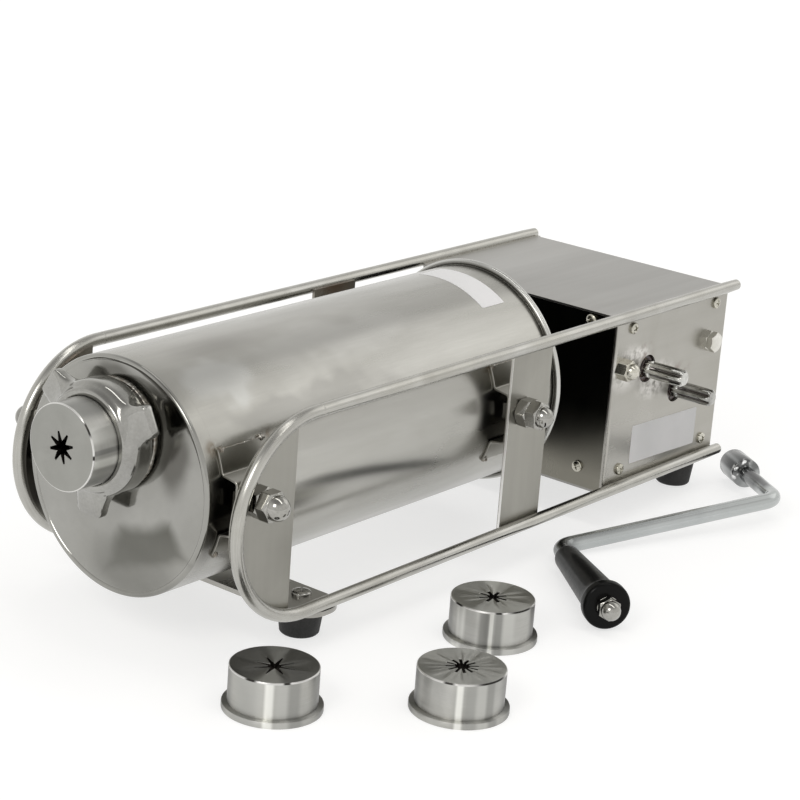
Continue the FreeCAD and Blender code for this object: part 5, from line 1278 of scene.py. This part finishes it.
def hex_bolt(foot, axis, flats, height, shank, length, turn=0.0):
    """A hexagon head above the foot and its round shank below, in one skin from pole to pole."""
    angles = np.linspace(0, 2 * np.pi, 96, endpoint=False)
    radii, levels = hex_rows(flats, height, angles, bottom=False, turn=turn)
    under = np.repeat(np.array([0.0, shank - 0.5, shank, shank])[:, None], 96, 1)
    centre = np.zeros((1, 96))
    heights = np.concatenate([[-length, -length, 0.5 - length, 0.0], levels, [height]])
    return turned(np.vstack([under, radii, centre]), heights, foot, axis, 96, close=False)


GUIDE_HEIGHT, GUIDE_FRONT, GUIDE_REAR = 112.48, 383.0, 491.0
M8_FLATS, M8_RADIUS, BOLT_LENGTH = 13.0, 4.0, 175.0
front_near, front_far = ((GUIDE_FRONT, side, GUIDE_HEIGHT) for _, side in SIDES)
rear_near, rear_far = ((GUIDE_REAR, side, GUIDE_HEIGHT) for _, side in SIDES)
guide_caps = [acorn_nut(front_near, NEAR, M8_FLATS, 8.2, 5.7, lift=0.4, turn=0.3),
              acorn_nut(rear_far, FAR, M8_FLATS, 8.2, 5.7, lift=0.4, turn=0.3)]
guide_domes = make("guide_domed_nuts", guide_caps, yellowed_steel, "frame", sharp=28)
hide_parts("guide_nuts")
long_bolts = [hex_bolt(front_far, FAR, M8_FLATS, 5.3, M8_RADIUS, BOLT_LENGTH, 0.2),
              hex_bolt(rear_near, NEAR, M8_FLATS, 3.6, M8_RADIUS, BOLT_LENGTH, 0.0),
              hex_bolt((GUIDE_REAR, -87.9, GUIDE_HEIGHT), NEAR, M8_FLATS, 4.2, M8_RADIUS, 0.8, 0.1)]
guide_pair = make("guide_long_bolts", long_bolts, plated_steel, "frame", sharp=28)
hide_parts("guide_bolts")


# %% Pan-head screws
def pan_screw(foot, axis, head, height, shank, length, turn):
    """A domed head with a tapered cross recess, and its shank below."""
    cross = star_outline(4, head * 0.62, head * 0.24, head * 0.2, head * 0.26, math.degrees(turn))
    angles = star_angles(cross, 48)
    recess = distance_to(cross, angles)
    base = np.ones_like(angles)
    dome = [(1 - s) * recess + s * head * 0.93 for s in (0.0, 0.25, 0.55, 0.8, 1.0)]
    rows = [(0 * base, height * 0.35 * base), (recess * 0.55, height * 0.38 * base)]
    rows += [(r, height * (1 - 0.42 * (r / head) ** 2.4)) for r in dome]
    rows += [(head * 0.985 * base, height * 0.5 * base), (head * base, height * 0.38 * base),
             (head * base, 0 * base), (shank * base, 0 * base), (shank * base, -length * base),
             (0 * base, -length * base)]
    radii, heights = np.array([r for r, _ in rows]), np.array([h for _, h in rows])
    side, up, along = square_to(axis)
    spread = np.cos(angles)[:, None] * side + np.sin(angles)[:, None] * up
    points = np.array(foot, float) + radii[..., None] * spread + heights[..., None] * along
    return grid(points, close_columns=True)


screws = []
for k, (x, z) in enumerate(((393.0, 139.0), (496.5, 139.0), (393.0, 39.0), (496.5, 39.0))):
    for axis, side in SIDES:
        screws.append(pan_screw((x, side, z), axis, 4.0, 2.6, 2.0, 6.0, 0.4 + 1.1 * k))
for k, (y, z) in enumerate(((-62.0, 143.0), (62.0, 143.0), (-62.0, 39.0), (62.0, 39.0))):
    screws.append(pan_screw((375.6, y, z), (-1, 0, 0), 4.0, 2.6, 2.0, 6.0, 0.2 + 0.9 * k))
panel_heads = make("panel_screw_heads", screws, yellowed_steel, "frame", sharp=35)
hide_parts("panel_screws")
FOOT_FRONT, FOOT_REAR, FOOT_SIDE = 89.5, 498.5, 64.0
foot_screws = [pan_screw((x, y, z), (0, 0, 1), 6.0, 3.4, 3.0, 12.0, 0.3 + y)
               for x, z in ((FOOT_FRONT, 24.0), (FOOT_REAR, 25.5)) for y in (-FOOT_SIDE, FOOT_SIDE)]
foot_heads = make("foot_screw_heads", foot_screws, nut_steel, "frame", sharp=35)
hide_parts("foot_screws")

# %% [markdown]
# ## Splined shafts
# Two shafts stand out of the near panel, a slow one and a fast one, and the crank fits on either. Their ends
# have six rounded splines. Every row of a splined end is the same wavy circle, r = middle + half depth times
# a flattened cosine of six times the angle. The rows at the tip shrink to a chamfer and a small flat end, and
# behind the splines the rows are round.

# %% Shafts
FAST_SHAFT, SLOW_SHAFT, SHAFT_TIP = (455.0, 84.5), (415.64, 106.32), -114.5
spread_angles = np.linspace(0, 2 * np.pi, 144, endpoint=False)
wavy = 5.2 + 0.8 * np.tanh(1.3 * np.cos(6 * spread_angles)) / np.tanh(1.3)
for name, node, (x, z), body, greys in (
        ("shaft_fast", "fast_shaft", FAST_SHAFT, "fast_shaft_group", (0.24, 0.55)),
        ("shaft_slow", "slow_shaft", SLOW_SHAFT, "slow_shaft_group", (0.40, 0.72))):
    inner = (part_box(node)[1].y - HOME[1]) * 1000.0
    plain_part = np.full(144, 6.0)
    rows = [(0 * wavy, 0.0), (np.minimum(wavy, 3.6), 0.0), (np.minimum(wavy, 4.6), 0.15),
            (np.minimum(wavy, 5.6), 1.3), (wavy, 2.0), (wavy, 12.0), (wavy, 25.6), ((wavy + 6.0) / 2, 26.6),
            (plain_part, 27.0), (plain_part, 60.0), (plain_part, inner + 114.0),
            (plain_part - 0.6, inner - SHAFT_TIP), (0 * wavy, inner - SHAFT_TIP)]
    radii, heights = np.array([r for r, _ in rows]), [h for _, h in rows]
    skin = turned(radii, heights, (x, SHAFT_TIP, z), (0, 1, 0), 144, close=False)
    finish = splined_steel(name + "_steel", x, z, *greys)
    piece = make(name, [skin], finish, body, sharp=40)
    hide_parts(node)

# %% [markdown]
# Grease has worked out of the bushes and lies in the panel's round windows. It is a thin uneven ring: a disc
# with a hole, whose height wanders with the angle.

# %% Grease in the windows
grease = []
for (x, z), phase in ((FAST_SHAFT, 0.6), (SLOW_SHAFT, 2.1)):
    height = np.zeros((6, 144))
    height[1:5] = (0.9 + 0.55 * np.sin(spread_angles * 2 + phase)
                   + 0.25 * np.sin(spread_angles * 5 + phase * 2))
    height[2:4] += 0.35
    ring_radii = np.repeat(np.array([9.55, 9.4, 8.6, 7.4, 6.45, 6.3])[:, None], 144, 1)
    spread = np.stack([np.cos(spread_angles), 0 * spread_angles, np.sin(spread_angles)], -1)
    points = np.array([x, -81.05, z]) + ring_radii[..., None] * spread
    points = points - height[..., None] * np.array([0, 1.0, 0])
    grease.append(grid(points, close_rows=True, close_columns=True))
make("grease_rings", grease, shaft_grease, "frame", sharp=60)

# %% [markdown]
# ## Blank labels
# Two thin film labels, one on the near panel and one over the top of the barrel. They carry nothing. Each is
# a rounded rectangle in two layers, and the second one is wrapped: its long side becomes an angle on the
# barrel.

# %% Labels
def film(wide, tall, radius, lay):
    """A rounded rectangle in rows between its lower and upper edge, closed by its outline at both levels."""
    across = np.linspace(-1, 1, 48)
    across = np.sign(across) * (1 - (1 - np.abs(across)) ** 1.5) * wide / 2
    inset = np.maximum(0, np.abs(across) - (wide / 2 - radius))
    edge_height = tall / 2 - radius + np.sqrt(np.maximum(radius ** 2 - inset ** 2, 0))
    rows = np.linspace(-1, 1, 9)[:, None] * edge_height
    flat_points = np.stack([np.broadcast_to(across, rows.shape), rows], -1)
    top, under = lay(flat_points, 0.14), lay(flat_points, 0.02)
    outline = [np.concatenate([layer[0], layer[1:, -1], layer[-1, -2::-1], layer[-2:0:-1, 0]])
               for layer in (top, under)]
    return [grid(top), grid(under), grid(np.array(outline), close_columns=True)]


def on_panel(flat_points, proud):
    """Flat on the near panel."""
    across, up = flat_points[..., 0], flat_points[..., 1]
    return np.stack([445.8 + across, np.full(across.shape, -PANEL_FACE - proud),
                     52.2 - 0.035 * across + up], -1)


def on_barrel(flat_points, proud):
    """Wrapped over the barrel: the first coordinate runs round it, the second along it."""
    theta = np.radians(79.0) + flat_points[..., 0] / TUBE_RADIUS
    outer = TUBE_RADIUS + proud
    return np.stack([293.0 + flat_points[..., 1], -outer * np.cos(theta),
                     AXIS_HEIGHT + outer * np.sin(theta)], -1)


make("blank_panel_label", film(82.0, 27.0, 1.0, on_panel), label_film, "frame", sharp=60)
make("blank_barrel_label", film(56.0, 23.0, 1.0, on_barrel), label_film, "frame", sharp=60)

# %% [markdown]
# ## Feet
# Four moulded rubber feet, a little wider at the top, with softened edges.

# %% Rubber feet
foot_section = soften([(0, 0, 0), (10.9, 0, 1.0), (12.1, 1.2, 0.8), (14.3, 18.2, 0.8), (14.6, 21.0, 0.6),
                       (0, 21.0, 0)], closed=False)
for end, x in (("front", FOOT_FRONT), ("rear", FOOT_REAR)):
    for side, y in (("near", -FOOT_SIDE), ("far", FOOT_SIDE)):
        foot = make("foot_" + end + "_" + side,
                    [turned(foot_section[:, 0], foot_section[:, 1], (x, y, 0), (0, 0, 1), 64, close=False)],
                    foot_rubber, "frame")
        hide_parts("rubber_foot_" + end + "_" + side)

# %% [markdown]
# ## Crank
# The crank lies on the table beside the machine: a splined socket, a rod with two bends, and a black grip
# that turns on its far end behind a washer and a domed nut. Its four corner points lie in one leaning plane,
# so the rod is drawn flat in that plane, its bends rounded, and then swept.

# %% Crank rod
MOUTH = np.array((539.1982, -89.3585, 11.6095))
BEND_ONE = np.array((477.2678, -161.0204, 18.9708))
BEND_TWO = np.array((311.1, -95.9, 6.6095))
GRIP_END = np.array((231.1771, -188.3816, 16.1095))
CRANK_ROD, BEND_RADIUS = 5.5, 14.0
lean = np.array((-0.025294, 0.123759, 0.99199))
first = (BEND_TWO - BEND_ONE) / np.linalg.norm(BEND_TWO - BEND_ONE)
second = np.cross(lean, first)


def to_plane(point, radius=0.0):
    """A machine point as (along the arm, across it, bend radius), measured from the first bend."""
    return ((point - BEND_ONE) @ first, (point - BEND_ONE) @ second, radius)


inward = (BEND_ONE - MOUTH) / np.linalg.norm(BEND_ONE - MOUTH)
outward = (GRIP_END - BEND_TWO) / np.linalg.norm(GRIP_END - BEND_TWO)
corners = [to_plane(MOUTH + inward * 26), to_plane(BEND_ONE, BEND_RADIUS), to_plane(BEND_TWO, BEND_RADIUS),
           to_plane(GRIP_END - outward)]
line = soften(corners, closed=False, steps=14)
rod_path = BEND_ONE + line[:, :1] * first + line[:, 1:] * second
rod = swept(rod_path, CRANK_ROD, lean, 40)
rings = rod[0].reshape(len(rod_path), 40, 3)
stud = turned(np.array([0.0, 4.0, 4.0, 0.0]), [0.0, 0.0, 7.5, 7.5], GRIP_END - outward * 0.8, outward, 24,
              close=False)
crank = make("crank_bar", [rod, fan(rings[0]), fan(rings[-1]), stud], zinc_steel, "crank",
             sharp=40)
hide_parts("crank_rod")

# %% Splined socket
spline = star_outline(6, 6.15, 4.65, 2.4, 2.8, 0)
angles = star_angles(spline, 90)
teeth = np.clip(distance_to(spline, angles), 4.65, 6.15)
base = np.ones_like(angles)
rows = [(teeth, 25), (teeth, 0.8), (teeth + 0.5, 0.0), (9.6 * base, 0.0), (10.3 * base, 0.25),
        (10.5 * base, 0.9), (10.5 * base, 14.0), (10.5 * base, 28.4), (10.2 * base, 29.2), (9.0 * base, 30.0),
        (6.4 * base, 30.2), (5.6 * base, 31.0), (4.0 * base, 31.0), (0 * base, 31.0)]
side, up, along = square_to(inward)
spread = np.cos(angles)[:, None] * side + np.sin(angles)[:, None] * up
points = np.array([MOUTH + r[:, None] * spread + h * along for r, h in rows])
bottom = fan(points[0])
socket = make("crank_hub", [grid(points, close_columns=True), bottom], hub_steel, "crank")
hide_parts("crank_socket")

# %% Grip, washer and domed nut
GRIP_LENGTH = 100.0
grip_section = np.vstack([
    [(5.80, 0.3), (6.1, 0.0)], arc((7.0, 1.5), 1.5, -90, 0, 6),
    [(8.5 + (12.2 - 8.5) * t, 1.5 + 82.5 * t) for t in np.linspace(0.05, 1, 16)],
    [(12.5, 86.0), (12.9, 88.0), (13.6, 90.0), (14.4, 91.4)], arc((14.0, 93.0), 1.0, -40, 0, 4),
    arc((12.6, 97.6), 2.4, 0, 90, 8), [(6.1, GRIP_LENGTH), (5.80, 99.6)]])
grip_skin = turned(grip_section[:, 0], grip_section[:, 1], GRIP_END - outward * GRIP_LENGTH, outward, 96)
grip = make("crank_handle", [grip_skin], grip_black, "crank_grip_body")
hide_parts("crank_grip")
washer_section = soften([(4.1, 0, 0.2), (6.9, 0, 0.3), (6.9, 1.5, 0.3), (4.1, 1.5, 0.2)])
washer = make("grip_end_washer", [turned(washer_section[:, 0], washer_section[:, 1], GRIP_END, outward, 64)],
              nut_steel, "crank")
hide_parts("grip_washer")
end_nut = make("grip_domed_nut", [acorn_nut(GRIP_END + outward * 1.5, outward, 13.0, 5.2, 6.1, lift=1.6)],
               nut_steel, "crank", sharp=28)
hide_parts("grip_acorn_nut")

# %% [markdown]
# ## Finish
# The outer box of the dressed machine is printed.

# %% Dressed size
low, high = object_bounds()
print("dressed size", [round(b - a, 4) for a, b in zip(low, high)])
